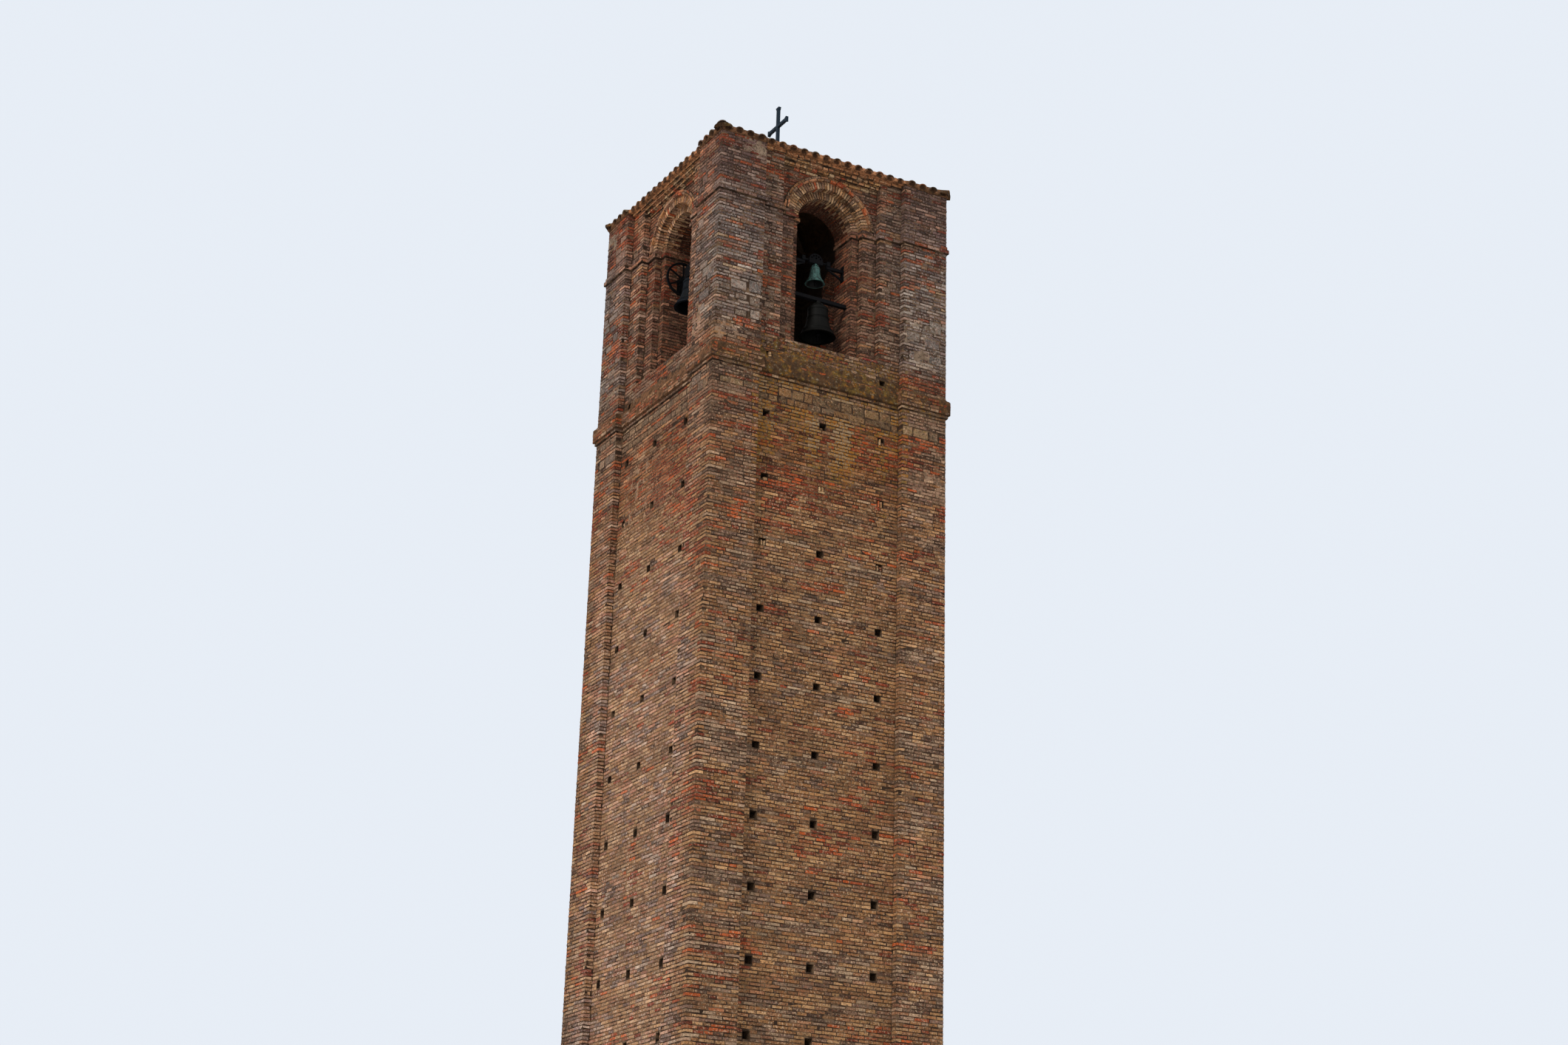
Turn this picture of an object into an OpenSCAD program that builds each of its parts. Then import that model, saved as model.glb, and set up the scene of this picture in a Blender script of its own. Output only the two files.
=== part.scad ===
// Tall brick bell tower: plain shaft, belfry of four stepped arches, three hung bells, low hipped roof.
// Millimetres. The origin is the middle of the base at ground level. The front face looks along -Y.
// Belfry levels are measured up or down from the underside of the impost string.

/* [Tower] */
// Width of the front and rear faces, over the corner pilasters
tower_w = 5000; // [4800:50:5300]
// Width of the two side faces, over the corner pilasters
tower_d = 4850; // [4700:50:5150]
// Height of the impost string's underside above the ground
impost_z = 23930; // [16000:10:30000]
// Wall thickness, from a pilaster's face to the inner face
wall_t = 1050; // [1000:10:1100]
// Width of a corner pilaster on the front and rear faces
pilaster_w = 960; // [900:10:980]
// Width of a corner pilaster on the side faces
pilaster_side_w = 885; // [840:5:940]
// Depth of each step back: pilaster, strip, outer order, inner order
step = 140; // [120:5:155]

/* [Belfry openings] */
// Clear width of an opening
open_w = 1215; // [1140:5:1250]
// Width of the inner order of brickwork beside an opening
inner_order_w = 155; // [130:5:170]
// Width of the outer order, from the inner order to the strips
outer_order_w = 313; // [300:1:330]
// Height of the arch centre above the impost's underside
arch_rise = 50; // [30:5:70]
// Width of the ring of voussoirs that lies flush with the panel
voussoir_w = 150; // [130:5:155]
// Width of the hood round the voussoirs, which is two thin rings
hood_w = 100; // [80:5:110]
// How far the inner ring of the hood stands out of the panel
hood_out = 45; // [30:5:60]
// How far the outer ring of the hood stands out of the panel
hood_edge_out = 30; // [15:5:40]

/* [Belfry levels] */
// Height of the impost string
impost_h = 163; // [120:1:180]
// Height of its projecting course, under the weathered top
impost_course_h = 78; // [60:1:100]
// How far the impost string stands out
impost_out = 38; // [25:1:45]
// Depth of the sill below the impost
sill_down = 2637; // [2500:1:2800]
// Depth of the sill band's top below the impost
band_down = 3125; // [3100:5:3300]
// Height of the sill band
band_h = 375; // [320:5:420]
// How far the sill band stands out
band_out = 65; // [50:1:80]
// Height of the sloped render over the band, between the pilasters
band_slope_up = 210; // [120:10:300]
// Height of the wall top above the impost
eaves_up = 1250; // [1230:5:1320]

/* [Cornice] */
// Height of each of the three corbelled courses between the strips
cornice_h = 67; // [60:1:70]
// How far the lowest of them stands out of the panel
cornice_low_out = 20; // [10:5:30]
// How far the middle one stands out of the panel
cornice_mid_out = 85; // [60:5:110]
// Height of the thin top course, which runs from pilaster to pilaster
cornice_top_h = 43; // [40:1:60]
// How far the thin top course stands out of the strips
cornice_top_out = 45; // [20:5:60]

/* [Putlog holes] */
// Side of a square putlog hole
putlog = 140; // [100:5:160]
// Depth of a putlog hole
putlog_deep = 250; // [200:10:300]
// Depth of the highest row, in the parapet, below the impost
putlog_down = 3038; // [2950:1:3045]
// Rise from the highest row of the shaft to the parapet's
putlog_pitch = 1188; // [1100:1:1300]
// Rise from one row of the shaft to the next
shaft_pitch = 1250; // [1150:5:1300]

/* [Roof] */
// Rise of the roof from its edge to the apex
roof_rise = 810; // [600:10:1000]
// How far the roof's edge stands out of the pilasters
roof_over = 20; // [0:5:60]
// Thickness of the roof's edge
roof_edge = 50; // [50:5:120]
// How far behind the pilasters' face the roof's edge lies between them
eaves_in = 30; // [0:5:60]
// How far the roof's edge clears the wall top between the pilasters, over sloping mortar
eaves_rise = 30; // [20:5:35]
// Thickness of the roof's deck, measured straight down
deck_t = 110; // [80:5:150]
// Radius of the cap tiles along the hips
hip_r = 95; // [70:5:120]
// Width of a hip rafter
rafter_w = 120; // [80:5:160]
// Depth of a hip rafter
rafter_h = 160; // [120:5:200]

/* [Cross] */
// Height of the cross
cross_h = 1490; // [1000:10:1800]
// Length of the cross arms from end to end
cross_w = 750; // [500:10:900]
// Thickness of the cross bars
cross_bar = 60; // [40:2:80]

/* [Bells] */
// Depth of both swinging bells' axles behind their wall's face
axle_in = 750; // [730:5:780]
// Depth of the upper bell's axle below the impost
upper_axle_down = 515; // [450:5:560]
// Mouth radius of the upper bell
upper_r = 195; // [150:5:210]
// Depth of the side bell's axle below the impost
side_axle_down = 475; // [450:5:560]
// Mouth radius of the side bell
side_r = 365; // [300:5:370]
// Outer radius of the side bell's wheel
wheel_r = 360; // [300:5:380]
// Mouth radius of the lower bell
lower_r = 350; // [280:5:370]
// Depth of the bell beam behind the front face
beam_in = 603; // [560:1:640]
// Depth of the bell beam below the impost
beam_down = 1402; // [1350:1:1460]
// Height of the bell beam
beam_h = 70; // [50:5:100]
// Width of the bell beam
beam_w = 80; // [60:5:120]

/* [Hidden] */

// Faces are numbered anticlockwise from above: front, right, rear, left
FRONT = 0;
RIGHT = 1;
REAR = 2;
LEFT = 3;

// A cut runs this far past the face that it opens
cut = 1;
// Running clearance between an axle and its bearing
axle_gap = 0.4;
// Clearance between pieces that are fixed on one shaft
fit_gap = 0.3;
// How far an axle stops short of its block's outer face
axle_end_gap = 5;

half_x = tower_w / 2;
half_y = tower_d / 2;
inner_x = half_x - wall_t;
inner_y = half_y - wall_t;
recess_x = half_x - pilaster_w;
recess_y = half_y - pilaster_side_w;
open_r = open_w / 2;
order_r = open_r + inner_order_w;
strip_r = order_r + outer_order_w;
hood_r = order_r + voussoir_w;

band_top = impost_z - band_down;
band_bottom = band_top - band_h;
sill_z = impost_z - sill_down;
impost_top = impost_z + impost_h;
arch_z = impost_z + arch_rise;
wall_top = impost_z + eaves_up;
apex_z = wall_top + roof_edge + roof_rise;
cornice_foot = wall_top - cornice_top_h - 3 * cornice_h;

// The sill band has a weathered top course, a fascia and a set-back bottom course
band_slope_h = 45;
band_foot_h = 65;
band_foot_out = band_out / 2;
// The impost string's weathered top stands out less than the course under it
impost_top_out = impost_out / 3;
floor_t = 200;
putlog_columns = [-1290, -100, 1160];
putlog_high = impost_z - putlog_down - putlog_pitch;
putlog_rows = floor((putlog_high - putlog) / shaft_pitch);

upper_h = 325;
upper_crown = 75;
lower_h = 590;
lower_crown = 115;
side_h = 560;
side_crown = 110;
bell_axle_r = 20;
yoke_t = 70;

function face_out(i) = i % 2 == 0 ? half_y : half_x;
function face_half(i) = i % 2 == 0 ? half_x : half_y;
function face_recess(i) = i % 2 == 0 ? recess_x : recess_y;
function mirrored(pts) = [for (k = [len(pts) - 1 : -1 : 0]) [-pts[k][0], pts[k][1]]];

// Places a piece in a face's own frame: X along the face, Y into the tower from the pilasters' face
module on_face(i) {
    rotate([0, 0, 90 * i]) translate([0, -face_out(i), 0]) children();
}

// Places a piece drawn in the corner of +X and +Y in the corner that the signs name
module in_corner(sx, sy) {
    mirror([sx < 0 ? 1 : 0, 0, 0]) mirror([0, sy < 0 ? 1 : 0, 0]) children();
}

module layer(z0, z1) {
    translate([0, 0, z0]) linear_extrude(z1 - z0) children();
}

module brick_colour() {
    color([0.56, 0.40, 0.30]) children();
}

// A whole wall layer on the front or rear, with both corners; e is how far it stands out
module end_plan(e = 0, panel = false) {
    half = concat(
        panel ? [[strip_r, 2 * step], [strip_r, step]] : [],
        [[recess_x - e, step - e], [recess_x - e, -e], [half_x + e, -e],
         [half_x + e, pilaster_side_w + e], [half_x - step + e, pilaster_side_w + e],
         [half_x - step + e, wall_t]]);
    polygon(concat(half, mirrored(half)));
}

// A wall layer on a side, between the front and rear ones
module side_plan(e = 0, panel = false) {
    half = concat(
        panel ? [[strip_r, 2 * step], [strip_r, step]] : [],
        [[inner_y, step - e], [inner_y, wall_t]]);
    polygon(concat(half, mirrored(half)));
}

module wall_plan(i, e = 0, panel = false) {
    if (i % 2 == 0) end_plan(e, panel);
    else side_plan(e, panel);
}

module putlog_pocket(x, z) {
    translate([x - putlog / 2, step - cut, z - putlog / 2]) cube([putlog, putlog_deep + cut, putlog]);
}

// Shaft, from the ground to the sill band
module shaft_pier(sx, sy) {
    brick_colour() in_corner(sx, sy) layer(0, band_bottom) polygon([
        [half_x, half_y], [recess_x, half_y], [recess_x, half_y - step], [inner_x, half_y - step],
        [inner_x, inner_y], [half_x - step, inner_y], [half_x - step, recess_y], [half_x, recess_y]]);
}

module shaft_wall(i) {
    half = face_half(i) - wall_t;
    brick_colour() on_face(i) difference() {
        translate([-half, step, 0]) cube([2 * half, wall_t - step, band_bottom]);
        for (row = [0 : putlog_rows], x = putlog_columns)
            putlog_pocket(x, putlog_high - row * shaft_pitch);
    }
}

// Sloped render that runs back from the band to the wall, open in front of the putlog holes
module band_slope(i) {
    half = face_recess(i);
    difference() {
        rotate([90, 0, 90]) translate([0, 0, -half]) linear_extrude(2 * half) polygon([
            [step, band_top], [step - band_out / 3, band_top], [step, band_top + band_slope_up]]);
        for (x = [putlog_columns[0], putlog_columns[2]])
            translate([x - putlog / 2, 0, impost_z - putlog_down - putlog / 2])
                cube([putlog, step + cut, putlog]);
    }
}

// Sill band: a set-back foot, the fascia, and a weathered top that runs back to the wall
module sill_band(i) {
    brick_colour() on_face(i) {
        layer(band_bottom, band_bottom + band_foot_h) wall_plan(i, band_foot_out);
        layer(band_bottom + band_foot_h, band_top - band_slope_h) wall_plan(i, band_out);
        layer(band_top - band_slope_h, band_top) wall_plan(i, band_out / 3);
        band_slope(i);
    }
}

module parapet(i) {
    brick_colour() on_face(i) difference() {
        layer(band_top, sill_z) wall_plan(i);
        for (x = [putlog_columns[0], putlog_columns[2]])
            putlog_pocket(x, impost_z - putlog_down);
    }
}

// Belfry corner with both its stepped jambs, drawn in the corner of +X and +Y
module belfry_plan(e) {
    polygon([
        [half_x + e, half_y + e], [recess_x - e, half_y + e],
        [recess_x - e, half_y - step + e], [strip_r - e, half_y - step + e],
        [strip_r - e, half_y - 2 * step + e], [order_r - e, half_y - 2 * step + e],
        [order_r - e, half_y - 3 * step + e], [open_r - e, half_y - 3 * step + e],
        [open_r - e, inner_y], [inner_x, inner_y],
        [inner_x, open_r - e], [half_x - 3 * step + e, open_r - e],
        [half_x - 3 * step + e, order_r - e], [half_x - 2 * step + e, order_r - e],
        [half_x - 2 * step + e, strip_r - e], [half_x - step + e, strip_r - e],
        [half_x - step + e, recess_y - e], [half_x + e, recess_y - e]]);
}

beam_seat = 100;

module belfry_pier(sx, sy) {
    course_top = impost_z + impost_course_h;
    brick_colour() difference() {
        in_corner(sx, sy) {
            layer(sill_z, impost_z) belfry_plan(0);
            layer(impost_z, course_top) belfry_plan(impost_out);
            layer(course_top, impost_top) belfry_plan(impost_top_out);
        }
        if (sy < 0) beam_body();
    }
}

// Arch wall, from the impost to the eaves, with the strips, both orders, the hood ring and the cornice
module ring(r_in, r_out, y0, y1) {
    translate([0, y0, arch_z]) rotate([-90, 0, 0]) difference() {
        cylinder(h = y1 - y0, r = r_out, $fn = 96);
        translate([0, 0, -cut]) cylinder(h = y1 - y0 + 2 * cut, r = r_in, $fn = 96);
    }
}

module round_cut(r, y0, y1) {
    translate([0, y0, arch_z]) rotate([-90, 0, 0]) cylinder(h = y1 - y0, r = r, $fn = 96);
}

module cornice(i) {
    half = face_recess(i);
    outs = [cornice_low_out, cornice_mid_out];
    for (k = [0 : 1])
        translate([-strip_r, 2 * step - outs[k], cornice_foot + k * cornice_h])
            cube([2 * strip_r, outs[k], cornice_h]);
    translate([-strip_r, step, cornice_foot + 2 * cornice_h])
        cube([2 * strip_r, step, cornice_h + cornice_top_h]);
    translate([-half, step - cornice_top_out, wall_top - cornice_top_h])
        cube([2 * half, cornice_top_out, cornice_top_h]);
}

// Hood over the voussoirs: a thin ring, and a thinner one round it that stands out less
module hood() {
    middle_r = hood_r + hood_w / 2;
    intersection() {
        union() {
            ring(hood_r, middle_r, 2 * step - hood_out, 2 * step);
            ring(middle_r, hood_r + hood_w, 2 * step - hood_edge_out, 2 * step);
        }
        translate([-strip_r, 0, impost_top]) cube([2 * strip_r, 2 * step, eaves_up]);
    }
}

module arch_wall(i) {
    brick_colour() on_face(i) difference() {
        union() {
            layer(impost_top, wall_top) wall_plan(i, 0, true);
            hood();
            cornice(i);
        }
        round_cut(order_r, step, 3 * step);
        round_cut(open_r, 2 * step, wall_t + cut);
    }
}

module chamber_floor() {
    color([0.42, 0.34, 0.27]) translate([-inner_x, -inner_y, band_top - floor_t])
        cube([2 * inner_x, 2 * inner_y, floor_t]);
}

// Roof: the height of a slope's top, y from the pilasters' face towards the middle
function slope_z(i, y) = wall_top + roof_edge + roof_rise * (y + roof_over) / (face_out(i) + roof_over);

module slope_profile(i, half) {
    mid = face_out(i);
    rotate([90, 0, 90]) translate([0, 0, -half]) linear_extrude(2 * half) polygon([
        [-roof_over, wall_top], [wall_t, wall_top], [wall_t, slope_z(i, wall_t) - deck_t],
        [mid, apex_z - deck_t], [mid, apex_z], [-roof_over, wall_top + roof_edge]]);
}

module roof_body(i) {
    half = face_half(i) + roof_over;
    on_face(i) {
        intersection() {
            slope_profile(i, half);
            layer(wall_top, apex_z + cut)
                polygon([[-half, -roof_over], [half, -roof_over], [0, face_out(i)]]);
        }
    }
}

// The air under and before the sloped mortar of the eaves, between the pilasters
module eaves_air(i) {
    half = face_recess(i);
    inner = step - cornice_top_out;
    high = wall_top + roof_edge + roof_rise / 2;
    rotate([90, 0, 90]) translate([0, 0, -half]) linear_extrude(2 * half) polygon([
        [inner, wall_top + eaves_rise / 2], [inner, wall_top - cut], [-roof_over - cut, wall_top - cut],
        [-roof_over - cut, high], [eaves_in, high], [eaves_in, wall_top + eaves_rise]]);
}

module roof_slope(i) {
    color([0.50, 0.36, 0.26]) difference() {
        roof_body(i);
        on_face(i) eaves_air(i);
    }
}

// Four hip rafters, backed to the slopes, that meet at a king block
king_w = 260;
king_h = 380;

module roof_frame() {
    far = norm([half_x, half_y]);
    low = slope_z(FRONT, 0) - deck_t;
    high = apex_z - deck_t;
    color([0.36, 0.27, 0.19]) difference() {
        intersection() {
            union() {
                for (sx = [-1, 1], sy = [-1, 1])
                    rotate([0, 0, atan2(sy * half_y, sx * half_x)]) rotate([90, 0, 0])
                        translate([0, 0, -rafter_w / 2]) linear_extrude(rafter_w)
                            polygon([[0, high - rafter_h], [far, low - rafter_h], [far, low], [0, high]]);
                translate([-king_w / 2, -king_w / 2, high - king_h]) cube([king_w, king_w, king_h]);
            }
            translate([-inner_x, -inner_y, wall_top]) cube([2 * inner_x, 2 * inner_y, apex_z - wall_top]);
        }
        for (i = [FRONT : LEFT]) on_face(i) slope_profile(i, face_half(i));
    }
}

// Cap tiles along the hips, bedded on the slopes, and the block that carries the cross
cap_reach = 15;
cap_skirt = 45;
apex_block_r = 150;
apex_block_up = hip_r + 15;
apex_block_down = 90;

module hip_caps() {
    run = norm([half_x + roof_over, half_y + roof_over]);
    fall = atan2(roof_rise, run);
    color([0.55, 0.37, 0.25]) difference() {
        union() {
            for (sx = [-1, 1], sy = [-1, 1])
                translate([0, 0, apex_z])
                    rotate([0, 0, atan2(sy * (half_y + roof_over), sx * (half_x + roof_over))])
                        rotate([0, 90 + fall, 0]) linear_extrude(run / cos(fall) + cap_reach) intersection() {
                            union() {
                                circle(r = hip_r, $fn = 32);
                                translate([0, -hip_r]) square([cap_skirt, 2 * hip_r]);
                            }
                            translate([-hip_r, -hip_r]) square([hip_r + cap_skirt, 2 * hip_r]);
                        }
            translate([0, 0, apex_z - apex_block_down])
                cylinder(h = apex_block_down + apex_block_up, r = apex_block_r, $fn = 48);
        }
        for (i = [FRONT : LEFT]) roof_body(i);
    }
}

// Iron cross with flared ends; its arms lie along Y
cross_flare = 120;
cross_flare_h = 70;
cross_arm_drop = 435;
cross_foot = 180;
cross_foot_h = 20;

module flared_bar(length) {
    b = cross_bar / 2;
    f = cross_flare / 2;
    neck = length - cross_flare_h;
    polygon([[-b, 0], [b, 0], [b, neck], [f, length], [-f, length], [-b, neck]]);
}

module cross() {
    foot_z = apex_z + apex_block_up;
    color([0.16, 0.18, 0.21]) translate([0, 0, foot_z]) {
        translate([-cross_foot / 2, -cross_foot / 2, 0]) cube([cross_foot, cross_foot, cross_foot_h]);
        rotate([90, 0, 90]) translate([0, 0, -cross_bar / 2]) linear_extrude(cross_bar) {
            flared_bar(cross_h);
            translate([0, cross_h - cross_arm_drop]) {
                rotate(90) flared_bar(cross_w / 2);
                rotate(-90) flared_bar(cross_w / 2);
            }
        }
    }
}

// Bell outline: the share of the mouth radius at height u, from 0 at the mouth to 1 at the shoulder
function flare(u, waist) = waist + (1 - waist) * pow(1 - u, 2.6);
function bell_wall(u) = 0.08 + 0.07 * max(0, 1 - u / 0.3);
bell_steps = 12;
// Raised mouldings round a bell, as shares of its height, over the lip, at the waist and at the shoulder
bell_mouldings = [0.14, 0.20, 0.62, 0.66, 0.93];
moulding_out = 0.022;
moulding_seat = 0.04;
moulding_h = 0.012;

// A bell shell with its mouth at z = 0 and crown loops on top
module bell_body(r, h, crown, waist) {
    shoulder = 0.07 * h;
    outer = [for (k = [0 : bell_steps]) [r * flare(k / bell_steps, waist), h * k / bell_steps]];
    cap = [for (a = [30 : 30 : 90])
        [r * waist * (0.6 + 0.4 * cos(a)) * (a < 90 ? 1 : 0), h + shoulder * sin(a)]];
    inner_top = h - r * bell_wall(1);
    inner = [for (k = [bell_steps : -1 : 0])
        [r * (flare(k / bell_steps, waist) - bell_wall(k / bell_steps)), inner_top * k / bell_steps]];
    rotate_extrude($fn = 96) polygon(concat(outer, cap, [[0, inner_top]], inner));
    rim_h = 2 * h * moulding_h;
    for (u = bell_mouldings)
        translate([0, 0, h * u - rim_h / 2]) difference() {
            cylinder(h = rim_h, r = r * (flare(u, waist) + moulding_out), $fn = 96);
            translate([0, 0, -cut])
                cylinder(h = rim_h + 2 * cut, r = r * (flare(u, waist) - moulding_seat), $fn = 96);
        }
    top = h + shoulder;
    stem = 0.16 * r;
    loop_r = crown - 0.07 * r;
    translate([0, 0, top - shoulder / 2]) cylinder(h = crown + shoulder / 2, r = stem, $fn = 32);
    for (a = [0 : 60 : 300])
        rotate([0, 0, a]) translate([stem * 0.7, 0, top]) rotate([90, 0, 0])
            rotate_extrude(angle = 90, $fn = 48) translate([loop_r * 0.72, 0]) circle(r = 0.05 * r, $fn = 16);
}

module bell_clapper(r, h) {
    top = h - r * bell_wall(1);
    ball_z = 0.09 * h;
    color([0.20, 0.19, 0.19]) {
        translate([0, 0, ball_z]) cylinder(h = top - ball_z, r = 0.045 * r, $fn = 24);
        translate([0, 0, ball_z]) sphere(r = 0.13 * r, $fn = 48);
        translate([0, 0, ball_z - 0.24 * h]) cylinder(h = 0.24 * h, r = 0.06 * r, $fn = 24);
    }
}

module bronze() {
    color([0.34, 0.47, 0.42]) children();
}

module iron() {
    color([0.17, 0.18, 0.20]) children();
}

// The axle of a bell lies along X at the origin of its own frame
yoke_bar_h = 60;

module axle(reach) {
    translate([-reach, 0, 0]) rotate([0, 90, 0]) cylinder(h = 2 * reach, r = bell_axle_r, $fn = 48);
}

// Fan-shaped cast yoke with round eyes, on a straight bar
module fan_yoke(r, reach) {
    eye_r = 0.13 * r;
    rotate([90, 0, 0]) translate([0, 0, -yoke_t / 2]) linear_extrude(yoke_t) difference() {
        union() {
            intersection() {
                circle(r = r, $fn = 96);
                translate([-r, 0]) square([2 * r, r]);
            }
            translate([-r, -yoke_bar_h]) square([2 * r, yoke_bar_h + cut]);
        }
        for (a = [30 : 30 : 150]) rotate(a) translate([0.72 * r, 0]) circle(r = eye_r, $fn = 32);
        translate([0, 0.36 * r]) circle(r = eye_r, $fn = 32);
    }
    axle(reach);
}

// Two wall brackets with bored bearing blocks, braced back to the jambs.
// block_x is where each block starts, measured from the middle of the opening
block_w = 70;
block_wall = 25;
block_t = 2 * (bell_axle_r + block_wall);
arm_h = 55;
arm_w = 60;
brace_h = 230;
brace_t = 30;
brace_end = 45;
wall_plate_t = 14;
wall_plate_w = 120;
wall_plate_up = 40;
wall_plate_down = brace_h + brace_end + 15;

module bell_brackets(block_x) {
    seat_z = -bell_axle_r - block_wall;
    for (sx = [-1, 1]) mirror([sx < 0 ? 1 : 0, 0, 0]) {
        translate([block_x, -arm_w / 2, seat_z - arm_h]) cube([open_r - block_x, arm_w, arm_h]);
        difference() {
            translate([block_x, -block_t / 2, seat_z]) cube([block_w, block_t, block_t]);
            translate([block_x - cut, 0, 0]) rotate([0, 90, 0])
                cylinder(h = block_w + 2 * cut, r = bell_axle_r + axle_gap, $fn = 48);
        }
        translate([open_r - wall_plate_t, -wall_plate_w / 2, -wall_plate_down])
            cube([wall_plate_t, wall_plate_w, wall_plate_down + wall_plate_up]);
        rotate([90, 0, 0]) translate([0, 0, -brace_t / 2]) linear_extrude(brace_t) polygon([
            [block_x, seat_z - arm_h], [block_x + arm_w, seat_z - arm_h],
            [open_r, -brace_h], [open_r, -brace_h - brace_end]]);
    }
}

// Upper bell, in the front opening
upper_yoke_r = 150;
upper_arm = 367;
upper_block_x = open_r - upper_arm;
upper_reach = upper_block_x + block_w - axle_end_gap;
upper_mouth = upper_h * 1.07 + upper_crown + yoke_bar_h;

module at_upper_axle() {
    on_face(FRONT) translate([0, axle_in, impost_z - upper_axle_down]) children();
}

module upper_bell_brackets() iron() at_upper_axle() bell_brackets(upper_block_x);

module upper_bell_yoke() iron() at_upper_axle() fan_yoke(upper_yoke_r, upper_reach);

module upper_bell() bronze() at_upper_axle() translate([0, 0, -upper_mouth])
    bell_body(upper_r, upper_h, upper_crown, 0.48);

module upper_bell_clapper() at_upper_axle() translate([0, 0, -upper_mouth]) bell_clapper(upper_r, upper_h);

// Lower bell, fixed under the beam of the front opening
module beam_body() {
    on_face(FRONT) translate([-open_r - beam_seat, beam_in - beam_w / 2, impost_z - beam_down - beam_h / 2])
        cube([2 * (open_r + beam_seat), beam_w, beam_h]);
}

lower_mouth_z = impost_z - beam_down - beam_h / 2 - lower_crown - lower_h * 1.07;

module bell_beam() iron() beam_body();

module lower_bell() bronze() on_face(FRONT) translate([0, beam_in, lower_mouth_z])
    bell_body(lower_r, lower_h, lower_crown, 0.55);

module lower_bell_clapper() on_face(FRONT) translate([0, beam_in, lower_mouth_z])
    bell_clapper(lower_r, lower_h);

// Side bell, in the left opening, with its ringing wheel
side_headstock_w = 520;
side_headstock_h = 190;
side_headstock_t = 150;
side_bar_h = 95;
side_block_x = open_r - wall_plate_t - block_w;
side_reach = side_block_x + block_w - axle_end_gap;
wheel_t = 40;
wheel_gap = 35;
wheel_x = -(side_block_x - wheel_gap - wheel_t / 2);
wheel_rim = 38;
wheel_hub_r = 62;
wheel_spokes = 6;
spoke_w = 28;
spoke_inset = 8;
side_mouth = side_h * 1.07 + side_crown + side_bar_h;

module at_side_axle() {
    on_face(LEFT) translate([0, axle_in, impost_z - side_axle_down]) children();
}

module side_bell_brackets() iron() at_side_axle() bell_brackets(side_block_x);

// Headstock with a curved top, its axle right through it
module side_bell_yoke() iron() at_side_axle() {
    rotate([90, 0, 0]) translate([0, 0, -side_headstock_t / 2]) linear_extrude(side_headstock_t) {
        intersection() {
            translate([0, side_headstock_h - side_headstock_w]) circle(r = side_headstock_w, $fn = 96);
            translate([-side_headstock_w / 2, -side_bar_h])
                square([side_headstock_w, side_headstock_h + side_bar_h]);
        }
    }
    axle(side_reach);
}

module side_bell_wheel() iron() at_side_axle() translate([wheel_x, 0, 0]) rotate([0, 90, 0])
    translate([0, 0, -wheel_t / 2]) difference() {
        union() {
            difference() {
                cylinder(h = wheel_t, r = wheel_r, $fn = 96);
                translate([0, 0, -cut]) cylinder(h = wheel_t + 2 * cut, r = wheel_r - wheel_rim, $fn = 96);
            }
            cylinder(h = wheel_t, r = wheel_hub_r, $fn = 48);
            for (k = [0 : wheel_spokes - 1])
                rotate([0, 0, k * 360 / wheel_spokes]) translate([0, -spoke_w / 2, spoke_inset])
                    cube([wheel_r - wheel_rim / 2, spoke_w, wheel_t - 2 * spoke_inset]);
        }
        translate([0, 0, -cut]) cylinder(h = wheel_t + 2 * cut, r = bell_axle_r + fit_gap, $fn = 48);
    }

module side_bell() bronze() at_side_axle() translate([0, 0, -side_mouth])
    bell_body(side_r, side_h, side_crown, 0.54);

module side_bell_clapper() at_side_axle() translate([0, 0, -side_mouth]) bell_clapper(side_r, side_h);

shaft_pier(-1, -1);  // front_left_shaft_pier
shaft_pier(1, -1);  // front_right_shaft_pier
shaft_pier(1, 1);  // rear_right_shaft_pier
shaft_pier(-1, 1);  // rear_left_shaft_pier
shaft_wall(FRONT);  // front_shaft_wall
shaft_wall(RIGHT);  // right_shaft_wall
shaft_wall(REAR);  // rear_shaft_wall
shaft_wall(LEFT);  // left_shaft_wall
sill_band(FRONT);  // front_sill_band
sill_band(RIGHT);  // right_sill_band
sill_band(REAR);  // rear_sill_band
sill_band(LEFT);  // left_sill_band
parapet(FRONT);  // front_parapet
parapet(RIGHT);  // right_parapet
parapet(REAR);  // rear_parapet
parapet(LEFT);  // left_parapet
belfry_pier(-1, -1);  // front_left_belfry_pier
belfry_pier(1, -1);  // front_right_belfry_pier
belfry_pier(1, 1);  // rear_right_belfry_pier
belfry_pier(-1, 1);  // rear_left_belfry_pier
arch_wall(FRONT);  // front_arch_wall
arch_wall(RIGHT);  // right_arch_wall
arch_wall(REAR);  // rear_arch_wall
arch_wall(LEFT);  // left_arch_wall
chamber_floor();
roof_slope(FRONT);  // front_roof_slope
roof_slope(RIGHT);  // right_roof_slope
roof_slope(REAR);  // rear_roof_slope
roof_slope(LEFT);  // left_roof_slope
roof_frame();
hip_caps();
cross();
upper_bell_brackets();
upper_bell_yoke();
upper_bell();
upper_bell_clapper();
bell_beam();
lower_bell();
lower_bell_clapper();
side_bell_brackets();
side_bell_yoke();
side_bell_wheel();
side_bell();
side_bell_clapper();
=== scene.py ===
"""The look of the brick bell tower: laid bricks, stones, mortar, roof tiles, bells, and the finish of each.

Lengths are in metres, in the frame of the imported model: the front looks along -Y, the left side along -X.
A face has its own plan: x runs along it to the right as seen from outside, y runs into the tower.
"""
import math
import random

import bpy
import numpy as np
from mathutils import Matrix, Vector


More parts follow.
